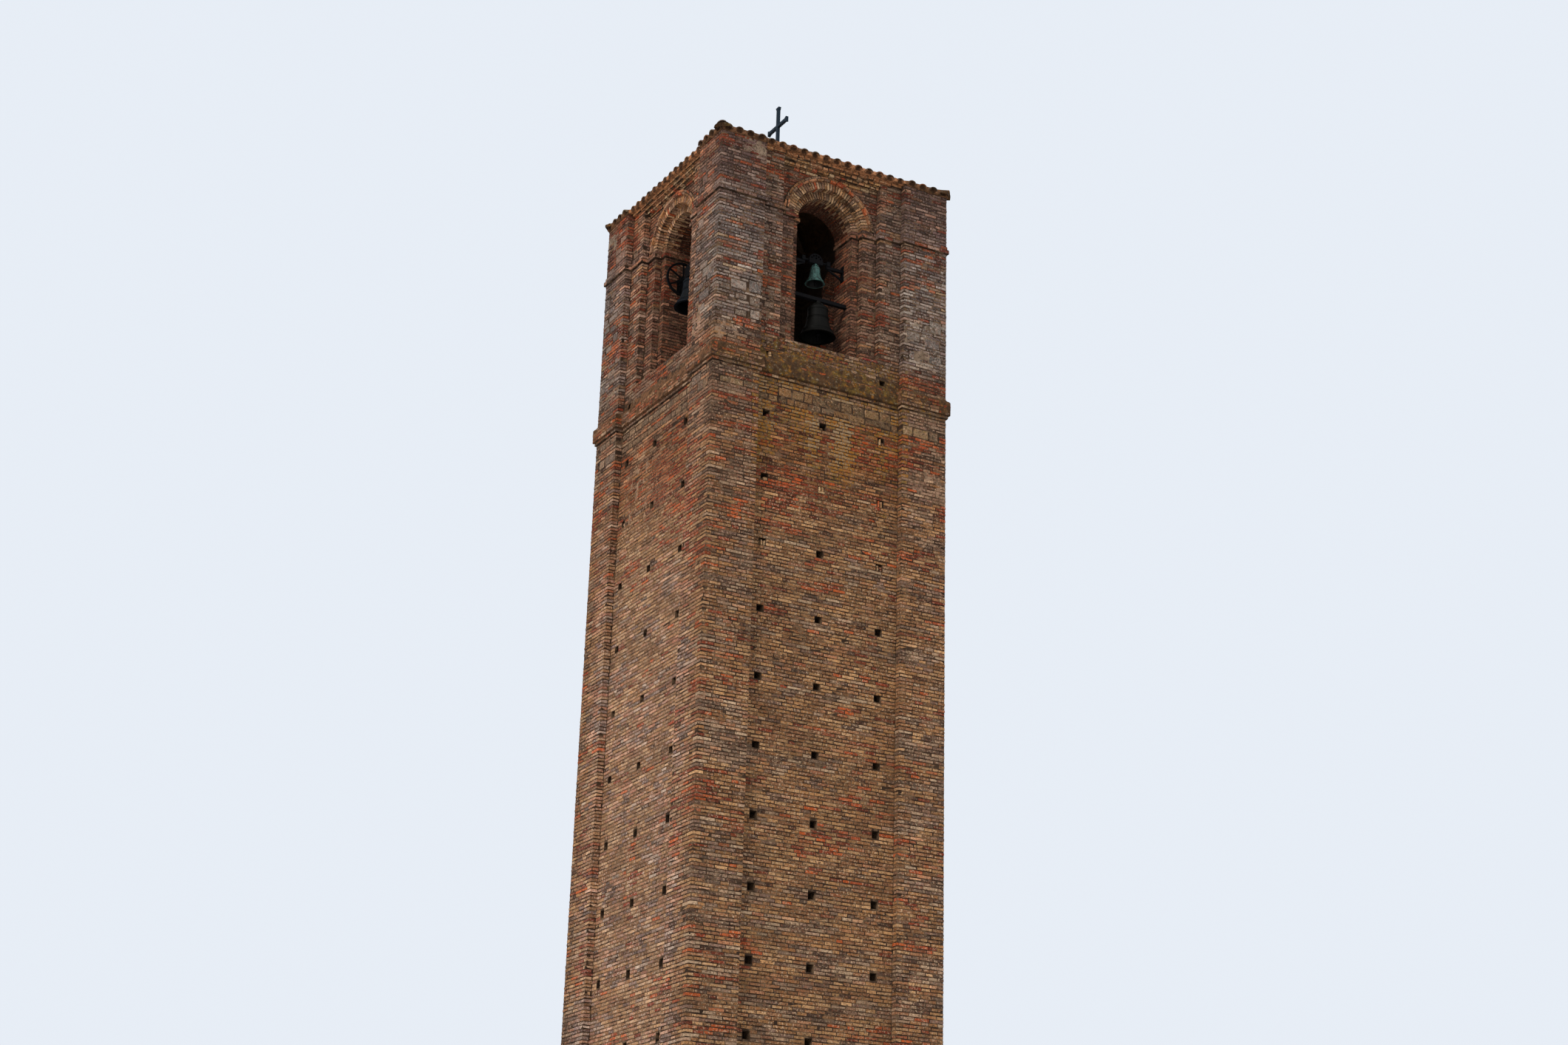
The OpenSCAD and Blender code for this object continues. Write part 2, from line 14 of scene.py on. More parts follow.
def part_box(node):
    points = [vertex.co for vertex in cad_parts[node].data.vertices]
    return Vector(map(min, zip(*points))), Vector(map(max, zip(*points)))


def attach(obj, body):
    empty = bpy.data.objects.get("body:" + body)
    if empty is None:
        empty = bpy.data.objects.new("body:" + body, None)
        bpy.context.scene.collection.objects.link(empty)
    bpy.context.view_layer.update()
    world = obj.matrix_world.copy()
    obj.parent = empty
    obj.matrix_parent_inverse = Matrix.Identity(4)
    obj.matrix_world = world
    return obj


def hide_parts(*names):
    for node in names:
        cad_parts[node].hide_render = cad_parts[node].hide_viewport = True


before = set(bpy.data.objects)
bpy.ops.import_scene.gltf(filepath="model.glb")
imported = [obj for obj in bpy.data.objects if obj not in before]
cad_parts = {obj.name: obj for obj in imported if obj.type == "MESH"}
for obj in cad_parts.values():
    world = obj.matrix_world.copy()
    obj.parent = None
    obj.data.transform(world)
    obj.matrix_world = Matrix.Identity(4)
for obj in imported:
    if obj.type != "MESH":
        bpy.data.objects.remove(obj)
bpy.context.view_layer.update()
chance = random.Random(11)
noise_seed = np.random.default_rng(5)

# Levels and widths that the frame gives
PIER_LOW, PIER_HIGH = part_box("front_right_shaft_pier")
HALF_X, HALF_Y = PIER_HIGH.x, -PIER_LOW.y
BAND_BOTTOM = PIER_HIGH.z
BAND_TOP, SILL = (corner.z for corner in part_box("front_parapet"))
IMPOST_TOP, WALL_TOP = (corner.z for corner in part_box("front_arch_wall"))
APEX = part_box("front_roof_slope")[1].z

# Sizes of the construction
STEP = 0.14
RECESS = 1.54
WALL_T = 1.05
OPEN_R = 0.6075
ORDER_R = 0.7625
STRIP_R = 1.0755
HOOD_R = 0.9125
HOOD_RING = 0.05
HOOD_OUT = 0.045
HOOD_EDGE_OUT = 0.03
HOOD_TOP_R = HOOD_R + 2 * HOOD_RING
IMPOST = IMPOST_TOP - 0.163
IMPOST_COURSE = 0.078
IMPOST_OUT = 0.038
ARCH_Z = IMPOST + 0.05
BAND_OUT = 0.065
BAND_FOOT = 0.065
BAND_SLOPE = 0.045
CORNICE_H = 0.067
CORNICE_TOP_H = 0.043
CORNICE_OUTS = (0.020, 0.085, 0.14)
CORNICE_TOP_OUT = 0.045
CORNICE_LOW = WALL_TOP - CORNICE_TOP_H - 3 * CORNICE_H
EAVES_IN = 0.030
EAVES_RISE = 0.030
ROOF_EDGE = 0.05
ROOF_OVER = 0.02
INNER_X = HALF_X - WALL_T
INNER_Y = HALF_Y - WALL_T
PUTLOG = 0.14
PUTLOG_COLUMNS = (-1.29, -0.10, 1.16)
PUTLOG_DOWN = 3.038
PUTLOG_PITCH = 1.188
SHAFT_PITCH = 1.250
PUTLOG_ROWS = 17

# Bricks
PITCH = 0.066
JOINT = 0.010
STRETCHER = 0.28
HEADER = 0.135
PROUD = 0.006
BED = 0.004
EDGE = 0.004
CHIP_SHARE = 0.10
CHIP_SIZE = 2.4
BELFRY_COURSES = 40
ARCH_COURSES = 16
BAND_COURSES = 4
PARAPET_COURSES = 7

FRONT, RIGHT, REAR, LEFT = range(4)
FACE_NAMES = ("front", "right", "rear", "left")


def half_width(face):
    return HALF_X if face % 2 == 0 else HALF_Y


def face_out(face):
    return HALF_Y if face % 2 == 0 else HALF_X


def to_plan(face, x, y):
    """A point of a face's own plan, in the tower's plan."""
    out = face_out(face)
    return [(x, y - out), (out - y, x), (-x, out - y), (y - out, -x)][face]


def face_axes(face):
    """The directions along a face and out of it, in the tower's plan."""
    return [((1, 0), (0, -1)), ((0, 1), (1, 0)), ((-1, 0), (0, 1)), ((0, -1), (-1, 0))][face]


def outward(face):
    return np.array((*face_axes(face)[1], 0.0))


def on_face(face, y, corners):
    """Corners (x, z) at the depth y in a face, in the tower's frame."""
    return [(*to_plan(face, x, y), z) for x, z in corners]


def srgb(red, green, blue):
    """A colour written as 0 to 255 on the screen, as linear light."""
    return tuple((c / 255 / 12.92) if c <= 10 else ((c / 255 + 0.055) / 1.055) ** 2.4 for c in (red, green, blue))


# Smooth noise, for patches of colour and uneven surfaces
LATTICE_SIZE = 64
LATTICE = noise_seed.random((LATTICE_SIZE,) * 3)


def smooth_noise(points, size):
    """Noise from 0 to 1 at the points, n by 3; size is how far apart its swells lie, one or three numbers."""
    p = np.asarray(points, float) / np.asarray(size, float) + 200.0
    cell = np.floor(p).astype(int)
    f = p - cell
    f = f * f * (3 - 2 * f)
    total = 0
    for corner in np.ndindex(2, 2, 2):
        weight = np.where(corner, f, 1 - f).prod(axis=1)
        total = total + weight * LATTICE[tuple(((cell + corner) % LATTICE_SIZE).T)]
    return total


def ramp(value, low, width):
    """0 up to low, and from there up to 1 over the width."""
    return np.clip((value - low) / width, 0, 1)


def near(value, middle, reach):
    """1 in the middle, and down to 0 at the reach on both sides."""
    return np.clip(1 - np.abs(value - middle) / reach, 0, 1)


# Materials
def add_node(tree, kind, links=(), **settings):
    """Adds a node; links maps input names or numbers to sockets or values."""
    made = tree.nodes.new(kind)
    for key, value in settings.items():
        setattr(made, key, value)
    for key, value in dict(links).items():
        if isinstance(value, bpy.types.NodeSocket):
            tree.links.new(value, made.inputs[key])
        else:
            made.inputs[key].default_value = value
    return made


class Paint:
    """A material, with short calls that add nodes to it; colour is its colour so far."""

    def __init__(self, name, roughness=0.9, specular=0.3):
        self.material = bpy.data.materials.new(name)
        self.material.use_nodes = True
        self.tree = self.material.node_tree
        self.shader = self.tree.nodes["Principled BSDF"]
        self.shader.inputs["Roughness"].default_value = roughness
        self.shader.inputs["Specular IOR Level"].default_value = specular
        self.place = self.node("ShaderNodeTexCoord").outputs["Object"]
        self.colour = None

    def node(self, kind, links=(), **settings):
        return add_node(self.tree, kind, links, **settings)

    def noise(self, size, detail=4, offset=0.0, roughness=0.6, stretch=(1, 1, 1)):
        """Noise whose swells are about size metres apart, longer along the axes that stretch names."""
        moved = self.node("ShaderNodeMapping", {"Vector": self.place, "Location": (offset,) * 3,
                                                "Scale": tuple(1 / s for s in stretch)})
        return self.node("ShaderNodeTexNoise", {"Vector": moved.outputs[0], "Scale": 1 / size,
                                                "Detail": detail, "Roughness": roughness}).outputs["Fac"]

    def span(self, value, low, high, to_low=0.0, to_high=1.0):
        """Maps a value from one range to another, and holds it at the ends."""
        return self.node("ShaderNodeMapRange", {0: value, 1: low, 2: high, 3: to_low, 4: to_high}).outputs[0]

    def math(self, operation, a, b=0.0):
        return self.node("ShaderNodeMath", {0: a, 1: b}, operation=operation).outputs[0]

    def attribute(self, name, output="Fac"):
        return self.node("ShaderNodeAttribute", attribute_name=name).outputs[output]

    def mix(self, share, a, b, blend="MIX"):
        a, b = (tone if isinstance(tone, bpy.types.NodeSocket) else (*tone, 1) for tone in (a, b))
        return self.node("ShaderNodeMix", {0: share, 6: a, 7: b}, data_type="RGBA", blend_type=blend).outputs[2]

    def cover(self, share, tone):
        """Covers a share of the colour with a tone."""
        self.colour = self.mix(share, self.colour, srgb(*tone))

    def times(self, tone):
        self.colour = self.mix(1.0, self.colour, tone, "MULTIPLY")

    def shade(self, value, low, high, dark, light):
        """Scales the colour from dark to light, as a value runs from low to high."""
        share = self.span(value, low, high, dark, light)
        self.times(self.node("ShaderNodeCombineColor", {0: share, 1: share, 2: share}).outputs[0])

    def spots(self, tone, size, detail, low, high, most, offset=0.0, roughness=0.6):
        """Spots of a tone where noise is above low, at their fullest from high on."""
        self.cover(self.span(self.noise(size, detail, offset, roughness), low, high, 0.0, most), tone)

    def mortar(self, dark, light):
        """Starts with grainy mortar in patches of two tones; returns its grain."""
        grain = self.noise(0.012, 6, roughness=0.75)
        patch = self.noise(0.35, 5, offset=2.2)
        self.colour = self.mix(self.span(patch, 0.3, 0.7), srgb(*dark), srgb(*light))
        self.shade(grain, 0.25, 0.75, 0.75, 1.2)
        return grain

    def lichen(self, amount, scale=1.0, pale_from=1.12):
        """Olive and orange crusts and pale spots; amount is a socket or a value from 0 to 1."""
        for tone, size, detail, offset, low, high, most in (
                ((112, 88, 38), 0.10, 7, 3.1, 0.98, 1.08, 0.74), ((152, 98, 32), 0.05, 6, 7.7, 1.02, 1.10, 0.74),
                ((148, 138, 118), 0.03, 6, 5.3, pale_from, pale_from + 0.08, 0.6)):
            crust = self.math("ADD", self.noise(size * scale, detail, offset, 0.7), amount)
            self.cover(self.span(crust, low, high, 0.0, most), tone)

    def rough(self, grain, size, detail, offset, share):
        """Grain with coarser swells on it, as a height."""
        return self.math("ADD", grain, self.math("MULTIPLY", self.noise(size, detail, offset), share))

    def finish(self, height=None, depth=0.003):
        self.tree.links.new(self.colour, self.shader.inputs["Base Color"])
        if height is not None:
            bump = self.node("ShaderNodeBump", {"Height": height, "Distance": depth, "Strength": 1.0})
            self.tree.links.new(bump.outputs[0], self.shader.inputs["Normal"])
        return self.material


def brick_material():
    paint = Paint("old_brick_finish", roughness=0.92, specular=0.2)
    paint.colour = paint.attribute("tint", "Color")
    grain = paint.noise(0.020, 7, roughness=0.75)
    paint.shade(grain, 0.32, 0.68, 0.45, 1.5)
    paint.spots((140, 92, 66), 0.06, 5, 0.50, 0.66, 0.45, 14.0)
    paint.spots((50, 38, 32), 0.034, 6, 0.53, 0.60, 0.8, 1.7, 0.7)
    flecks = paint.span(paint.noise(0.040, 7, 6.3, 0.75), 0.535, 0.59, 0.0, 0.75)
    fewer = paint.span(paint.noise(0.5, 4, 2.9), 0.38, 0.62, 0.35, 1.0)
    paint.cover(paint.math("MULTIPLY", flecks, fewer), (192, 176, 158))
    paint.spots((58, 50, 44), 0.6, 5, 0.46, 0.72, 0.36, 9.1)
    # The tint of age, which also carries painted light and painted shade.
    paint.times(paint.attribute("age_and_light", "Color"))
    paint.lichen(paint.attribute("lichen"))
    return paint.finish(paint.rough(grain, 0.045, 4, 5.0, 1.6), 0.007)


def joint_material():
    """The walls behind the laid bricks: raked joints outside, and plain coursed brickwork inside the tower, coloured
    dark as painted shade.
    """
    paint = Paint("wall_core_finish", roughness=0.95, specular=0.15)
    grain = paint.mortar((40, 29, 22), (70, 53, 40))
    x, y, z = paint.node("ShaderNodeSeparateXYZ", {0: paint.place}).outputs
    reach_x, reach_y = paint.math("ABSOLUTE", x), paint.math("ABSOLUTE", y)
    normal = paint.node("ShaderNodeNewGeometry").outputs["True Normal"]
    normal_x = paint.node("ShaderNodeSeparateXYZ", {0: normal}).outputs[0]
    sideways = paint.math("GREATER_THAN", paint.math("ABSOLUTE", normal_x), 0.7)
    recessed = paint.math("LESS_THAN", reach_x, HALF_X - STEP / 2)
    filled = paint.math("MULTIPLY", paint.math("MULTIPLY", sideways, recessed),
                        paint.span(z, BAND_BOTTOM - 1.6, BAND_BOTTOM - 0.7, 0.08, 0.0))
    paint.cover(paint.span(paint.math("ADD", paint.noise(0.16, 6, 3.3), filled), 0.50, 0.60), (106, 84, 64))
    along = paint.math("ADD", paint.math("MULTIPLY", sideways, y),
                       paint.math("MULTIPLY", paint.math("SUBTRACT", 1.0, sideways), x))
    flat = paint.node("ShaderNodeCombineXYZ", {0: along, 1: z}).outputs[0]
    # Painted shade: the brickwork inside the tower is coloured dark for the shade in the chamber.
    laid = paint.node("ShaderNodeTexBrick", {
        "Vector": flat, "Color1": (*srgb(66, 50, 38), 1), "Color2": (*srgb(48, 37, 30), 1),
        "Mortar": (*srgb(52, 44, 36), 1), "Scale": 1.0, "Mortar Size": 0.007, "Mortar Smooth": 0.2,
        "Bias": -0.1, "Brick Width": STRETCHER + JOINT, "Row Height": PITCH})
    joint, paint.colour = paint.colour, laid.outputs["Color"]
    paint.shade(paint.noise(0.3, 5, 4.2), 0.3, 0.7, 0.75, 1.15)
    inside = paint.math("MULTIPLY", paint.math("LESS_THAN", reach_x, INNER_X + 0.03),
                        paint.math("LESS_THAN", reach_y, INNER_Y + 0.03))
    paint.colour = paint.mix(inside, joint, paint.colour)
    return paint.finish(paint.math("SUBTRACT", grain, paint.math("MULTIPLY", laid.outputs["Fac"], inside)), 0.004)


def render_material():
    """Old lime render, worn and grown over with lichen."""
    paint = Paint("lime_render_finish", roughness=0.95, specular=0.15)
    grain = paint.mortar((60, 42, 28), (90, 66, 42))
    pink = paint.attribute("pink")
    paint.cover(paint.span(pink, 0.0, 1.0), (126, 88, 62))
    # Pink above 1 is the mortar under the eaves: its own pink-tan, brightened with painted light against the overhang's
    # shade.
    paint.cover(paint.span(pink, 1.0, 1.6), (178, 122, 84))
    paint.spots((84, 58, 36), 0.22, 6, 0.48, 0.60, 0.7, 8.0)
    paint.lichen(paint.attribute("lichen"), 2.0, 1.04)
    paint.spots((52, 38, 26), 0.10, 7, 0.47, 0.55, 0.75, 12.0, 0.75)
    # Painted shade: dark brown in the hollows under the over tiles' ends, deeper than the mesh's own hollows.
    paint.cover(paint.span(paint.attribute("hollow"), 0.0, 1.0, 0.0, 0.9), (52, 32, 20))
    return paint.finish(paint.rough(grain, 0.05, 5, 6.1, 1.5), 0.007)


def plaster_material():
    """Thin grey-buff plaster that has weathered to the colour of the wall."""
    paint = Paint("old_plaster_finish", roughness=0.95, specular=0.15)
    grain = paint.mortar((104, 90, 76), (150, 132, 114))
    paint.cover(paint.span(paint.attribute("pink"), 0.0, 1.0), (158, 124, 98))
    paint.spots((86, 68, 54), 0.12, 6, 0.46, 0.62, 0.75, 4.4)
    paint.spots((56, 44, 36), 0.05, 6, 0.54, 0.64, 0.7, 10.4)
    paint.lichen(paint.attribute("lichen"))
    return paint.finish(paint.rough(grain, 0.04, 5, 1.1, 1.0), 0.006)


def tile_material():
    paint = Paint("roof_tile_finish", roughness=0.88, specular=0.25)
    paint.colour = paint.attribute("tint", "Color")
    grain = paint.noise(0.02, 6, roughness=0.7)
    paint.shade(grain, 0.25, 0.75, 0.75, 1.22)
    paint.spots((52, 46, 42), 0.13, 6, 0.48, 0.64, 0.7, 3.9)
    paint.lichen(0.40)
    return paint.finish(grain)


def timber_material():
    paint = Paint("old_timber_finish", roughness=0.85)
    grain = paint.noise(0.02, 5, stretch=(14, 1, 1))
    paint.colour = paint.mix(paint.span(grain, 0.3, 0.7), srgb(66, 52, 40), srgb(110, 90, 70))
    return paint.finish(grain)


def bronze_material(name, green, dark, share, bell, specular):
    """Cast bronze under a green patina, with dark runs down its sides; the inside of the bell is painted nearly black
    as shade.
    """
    paint = Paint(name, roughness=0.6, specular=specular)
    runs = paint.noise(0.05, 6, roughness=0.7, stretch=(1, 1, 6))
    specks = paint.noise(0.018, 5, 2.0)
    cover = paint.math("ADD", runs, paint.math("MULTIPLY", specks, 0.4))
    paint.colour = paint.mix(paint.span(cover, 0.86 - share, 1.0 - share), srgb(*dark), srgb(*green))
    paint.shade(specks, 0.3, 0.7, 0.8, 1.2)
    points = np.array([v.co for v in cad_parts[bell].data.vertices])
    middle = (points.min(axis=0) + points.max(axis=0)) / 2
    normal = paint.node("ShaderNodeVectorTransform", {0: paint.node("ShaderNodeNewGeometry").outputs["True Normal"]},
                        vector_type="NORMAL", convert_from="WORLD", convert_to="OBJECT").outputs[0]
    reach = paint.node("ShaderNodeVectorMath", {0: paint.place, 1: (middle[0], middle[1], 0.0)}, operation="SUBTRACT")
    flat = paint.node("ShaderNodeVectorMath", {0: reach.outputs[0], 1: (1.0, 1.0, 0.0)}, operation="MULTIPLY")
    faces_out = paint.node("ShaderNodeVectorMath", {0: flat.outputs[0], 1: normal}, operation="DOT_PRODUCT")
    # Painted shade: faces that look into the bell are coloured nearly black.
    paint.cover(paint.math("LESS_THAN", faces_out.outputs["Value"], -0.01), (10, 12, 12))
    return paint.finish(specks, 0.001)


def iron_material(name, base, rust_share):
    paint = Paint(name, roughness=0.65, specular=0.08)
    paint.colour = srgb(*base)
    paint.spots((50, 30, 22), 0.03, 6, 0.72 - rust_share, 0.86 - rust_share, 0.8, 1.0)
    return paint.finish(paint.noise(0.006), 0.0008)


BRICK = brick_material()
JOINTS = joint_material()
RENDER = render_material()
PLASTERS = plaster_material()
TILE = tile_material()
TIMBER = timber_material()
PATINA = bronze_material("green_bronze_finish", (66, 100, 95), (30, 40, 39), 0.24, "upper_bell", 0.25)
# Painted shade, partly: the side and lower bells are near black, their own dark bronze darkened for the shade they hang
# in.
BLUE_BRONZE = bronze_material("blue_bronze_finish", (16, 24, 33), (8, 11, 14), 0.20, "side_bell", 0.08)
DARK_BRONZE = bronze_material("dark_bronze_finish", (13, 13, 11), (6, 6, 5), 0.14, "lower_bell", 0.10)
IRON = iron_material("painted_iron_finish", (34, 46, 58), 0.04)
# Painted shade, partly: the bells' ironwork is near black, its own dark iron darkened for the shade it hangs in.
RUSTY_IRON = iron_material("rusty_iron_finish", (10, 10, 13), 0.05)


# Meshes
def make_mesh(name, points, faces, material, attributes=None, smooth=False):
    """An object from arrays: points n by 3, faces m by 4, and attributes: one value, or one for each point."""
    faces = np.asarray(faces, np.int32)
    points = np.asarray(points, np.float32)
    mesh = bpy.data.meshes.new(name)
    sides = faces.shape[1]
    mesh.vertices.add(len(points))
    mesh.vertices.foreach_set("co", points.ravel())
    mesh.loops.add(faces.size)
    mesh.loops.foreach_set("vertex_index", faces.ravel())
    mesh.polygons.add(len(faces))
    mesh.polygons.foreach_set("loop_start", np.arange(0, faces.size, sides, dtype=np.int32))
    mesh.polygons.foreach_set("loop_total", np.full(len(faces), sides, np.int32))
    mesh.polygons.foreach_set("use_smooth", np.full(len(faces), smooth))
    mesh.update()
    for key, values in (attributes or {}).items():
        values = np.asarray(values, np.float32)
        if values.ndim == 2:
            values = np.column_stack([values, np.ones(len(values), np.float32)])
            mesh.attributes.new(key, "FLOAT_COLOR", "POINT").data.foreach_set("color", values.ravel())
        else:
            mesh.attributes.new(key, "FLOAT", "POINT").data.foreach_set("value", np.full(len(points), values))
    mesh.materials.append(material)
    made = bpy.data.objects.new(name, mesh)
    bpy.context.scene.collection.objects.link(made)
    return made


def ride(made, body="tower"):
    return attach(made, body)


def grid_faces(rows, columns, closed=False):
    """The quads between a grid's points, row by row; closed joins the last column to the first."""
    index = np.arange(rows * columns).reshape(rows, columns)
    if closed:
        index = np.concatenate([index, index[:, :1]], axis=1)
    return np.stack([index[:-1, :-1], index[:-1, 1:], index[1:, 1:], index[1:, :-1]], axis=-1).reshape(-1, 4)


# Laid masonry
class Masonry:
    """Gathers the bricks of one piece, each with its four front corners, and joins them in one mesh."""

    def __init__(self, name):
        self.name, self.bricks = name, []

    def add(self, corners, normal, depth=BED, proud=None, family="wall", lichen=0.0, worn=1.0):
        if proud is None:
            proud = PROUD + chance.uniform(-0.005, 0.003)
        self.bricks.append((corners, normal, depth, proud, family, lichen, worn))

    def build(self):
        corners, normals, depths, prouds, families, lichens, worn = zip(*self.bricks)
        front, normal = np.array(corners, float), np.array(normals, float)[:, None, :]
        depth, proud, worn = (np.array(values)[:, None, None] for values in (depths, prouds, worn))
        count = len(front)
        turn = np.cross(front[:, 1] - front[:, 0], front[:, 3] - front[:, 0])
        backward = (turn * normal[:, 0]).sum(1) < 0
        front[backward] = front[backward][:, ::-1]
        ahead = np.roll(front, -1, axis=1) - front
        ahead /= np.linalg.norm(ahead, axis=2, keepdims=True)
        behind = -np.roll(ahead, 1, axis=1)
        inset = EDGE * noise_seed.uniform(0.5, 2.0, (count, 4, 1)) * worn
        inset = np.where(noise_seed.random((count, 4, 1)) < CHIP_SHARE, inset * CHIP_SIZE, inset)
        face = front + (ahead + behind) * inset + normal * (proud + noise_seed.uniform(-0.002, 0.002, (count, 4, 1)))
        points = np.concatenate([front - normal * depth, face], axis=1).reshape(-1, 3)
        box = np.array([(0, 3, 2, 1), (4, 5, 6, 7), (0, 1, 5, 4), (1, 2, 6, 5), (2, 3, 7, 6), (3, 0, 4, 7)])
        faces = (np.arange(count)[:, None, None] * 8 + box).reshape(-1, 4)
        tint, age_and_light = brick_colours(front.mean(axis=1), normal[:, 0], np.array(families))
        values = {"tint": tint, "age_and_light": age_and_light, "lichen": np.array(lichens)}
        made = make_mesh(self.name, points, faces, BRICK, {key: np.repeat(v, 8, axis=0) for key, v in values.items()})
        return ride(made)


# Brick colours, as they look in plain light
GREYS = [(116, 102, 92), (98, 86, 78), (128, 112, 98), (136, 120, 108), (104, 86, 76), (154, 140, 124),
         (88, 76, 68), (122, 100, 86), (144, 128, 112), (76, 62, 56), (108, 92, 86)]
REDS = [(140, 70, 42), (122, 56, 36), (154, 82, 48), (106, 50, 34), (138, 88, 60), (98, 48, 34), (128, 78, 56),
        (158, 80, 40), (114, 60, 42)]
BUFFS = [(136, 106, 74), (122, 92, 64), (146, 118, 86), (112, 86, 62), (130, 98, 74), (154, 128, 98)]
PINKS = [(146, 108, 84), (132, 94, 74), (158, 122, 98), (118, 86, 70), (140, 112, 94), (168, 136, 112)]
INFILLS = [(120, 64, 46), (102, 56, 42), (134, 84, 60), (90, 52, 42), (150, 104, 78)]
STONES = [(118, 106, 86), (102, 94, 80), (132, 118, 94), (94, 86, 74), (124, 104, 78), (110, 104, 94)]
BLOCKS = [(128, 116, 102), (112, 102, 94), (140, 126, 112), (122, 106, 90), (104, 96, 88)]
PALES = [(140, 122, 98), (150, 132, 108), (126, 108, 86), (160, 144, 120), (128, 106, 82)]
# Painted shade: the dark bricks stand in for the shade in holes where bricks are missing.
DARKS = [(62, 46, 38), (72, 50, 38), (52, 38, 32)]
SOFFITS = [(93, 50, 27), (81, 45, 25), (71, 40, 24), (102, 58, 30), (64, 37, 23)]
NAMED = {"grey": GREYS, "red": REDS, "buff": BUFFS, "pink": PINKS, "infill": INFILLS, "stone": STONES,
         "block": BLOCKS, "pale": PALES, "dark": DARKS, "soffit": SOFFITS,
         "orange": [(170, 88, 48)], "slab": [(124, 32, 28)], "loose": [(196, 158, 114), (180, 142, 100)],
         "voussoir": GREYS[:6] + BUFFS + PALES, "arch": BUFFS + PALES + GREYS[2:6],
         "hood": BUFFS + PINKS[:4] + REDS[:3] + GREYS[:4],
         "cornice": BUFFS + PINKS[:4] + GREYS[2:6] + REDS[:2], "eaves": [(146, 108, 80), (134, 96, 72)]}


def brick_colours(centres, normals, families):
    """A colour, and a tint of age with painted light and shade in it, for each brick from where it lies: kilns' batches
    ran in patches and in rows.
    """
    count = len(centres)
    out_x, out_y = np.abs(centres[:, 0]), np.abs(centres[:, 1])
    below = IMPOST - centres[:, 2]
    sideways = np.abs(normals[:, 0]) > 0.5
    flush = np.where(sideways, out_x - HALF_X, out_y - HALF_Y) > -0.05
    patch = smooth_noise(centres, (0.9, 0.9, 0.7)) - 0.5
    rows = smooth_noise(centres + 31.0, (1.1, 1.1, 0.1)) - 0.5
    blush = smooth_noise(centres + 77.0, (0.5, 0.5, 0.25)) - 0.5
    drift = smooth_noise(centres + 13.0, (0.45, 0.45, 0.3)) - 0.5
    roll, pick = noise_seed.random(count), noise_seed.random(count)
    chalky = 1 - ((centres[:, 0] + 1.9) / 0.6) ** 2 - ((below - 1.6) / 1.3) ** 2
    chalky = np.clip(chalky, 0, 1) * (centres[:, 1] < -2.3)
    calm = ramp(below, np.where(sideways, 2.6, 5.2), 1.2)
    red = 0.05 + 1.5 * patch + 1.2 * rows
    red += np.where(flush, 0.10, 0.40) * near(below, 4.75, 1.3) + 0.16 * near(below, 3.0, 0.6)
    red -= 0.24 * ramp(below, 5.8, 1.0) + 0.25 * chalky + 0.15 * calm * (sideways & ~flush)
    buff = 0.08 + np.where(flush, 0.60, 1.0) * ramp(below, 4.2, 1.6) + 0.3 * rows
    pink = np.where(sideways & (out_y < HALF_Y - 0.18), 0.55, 0.12) + 0.4 * blush
    walls = np.select([roll < red, roll < red + buff, roll < red + buff + pink * (1 - red - buff)],
                      ["red", "buff", "pink"], "grey")
    kinds = np.where(families == "wall", walls, families)
    colours = np.zeros((count, 3))
    for kind in np.unique(kinds):
        tones = np.array([srgb(*tone) for tone in NAMED[str(kind)]])
        here = kinds == kind
        colours[here] = tones[(pick[here] * len(tones)).astype(int)]
    shade = noise_seed.normal(1.02, 0.32, count).clip(0.42, 1.9) + 0.45 * (drift + 0.5 * chalky)
    shade = 1.0 + (shade - 1.0) * (1 - 0.45 * calm)
    shade = np.where((families == "red") | (roll < red), np.minimum(shade, 1.22), shade)
    # Tints of age by place, with painted light on the side faces and painted shade into the openings.
    age_and_light = weather(centres)
    corbelled = np.isin(families, ("cornice", "eaves"))
    arched = np.isin(families, ("voussoir", "hood", "arch"))
    bright = np.isin(families, ("loose", "slab"))
    # Painted light, partly: the corbelled courses are tinted brighter and more orange, partly their own colour and
    # partly light painted into the shade under the eaves.
    age_and_light[corbelled] = (1.5, 1.22, 0.90)
    age_and_light[arched] = (1.18, 0.93, 0.73)
    # Painted light: the arches of the side faces are tinted lighter, as if lit from the side.
    age_and_light[arched & (out_x > out_y)] = (1.40, 1.04, 0.82)
    age_and_light[bright] = 1.1
    shade = np.where(corbelled, 1 + 0.5 * (shade - 1), shade)
    shade = np.where(bright | np.isin(families, ("stone", "block")), 0.90 + 0.35 * (shade - 1), shade)
    return np.clip(colours * shade[:, None], 0, 1), age_and_light


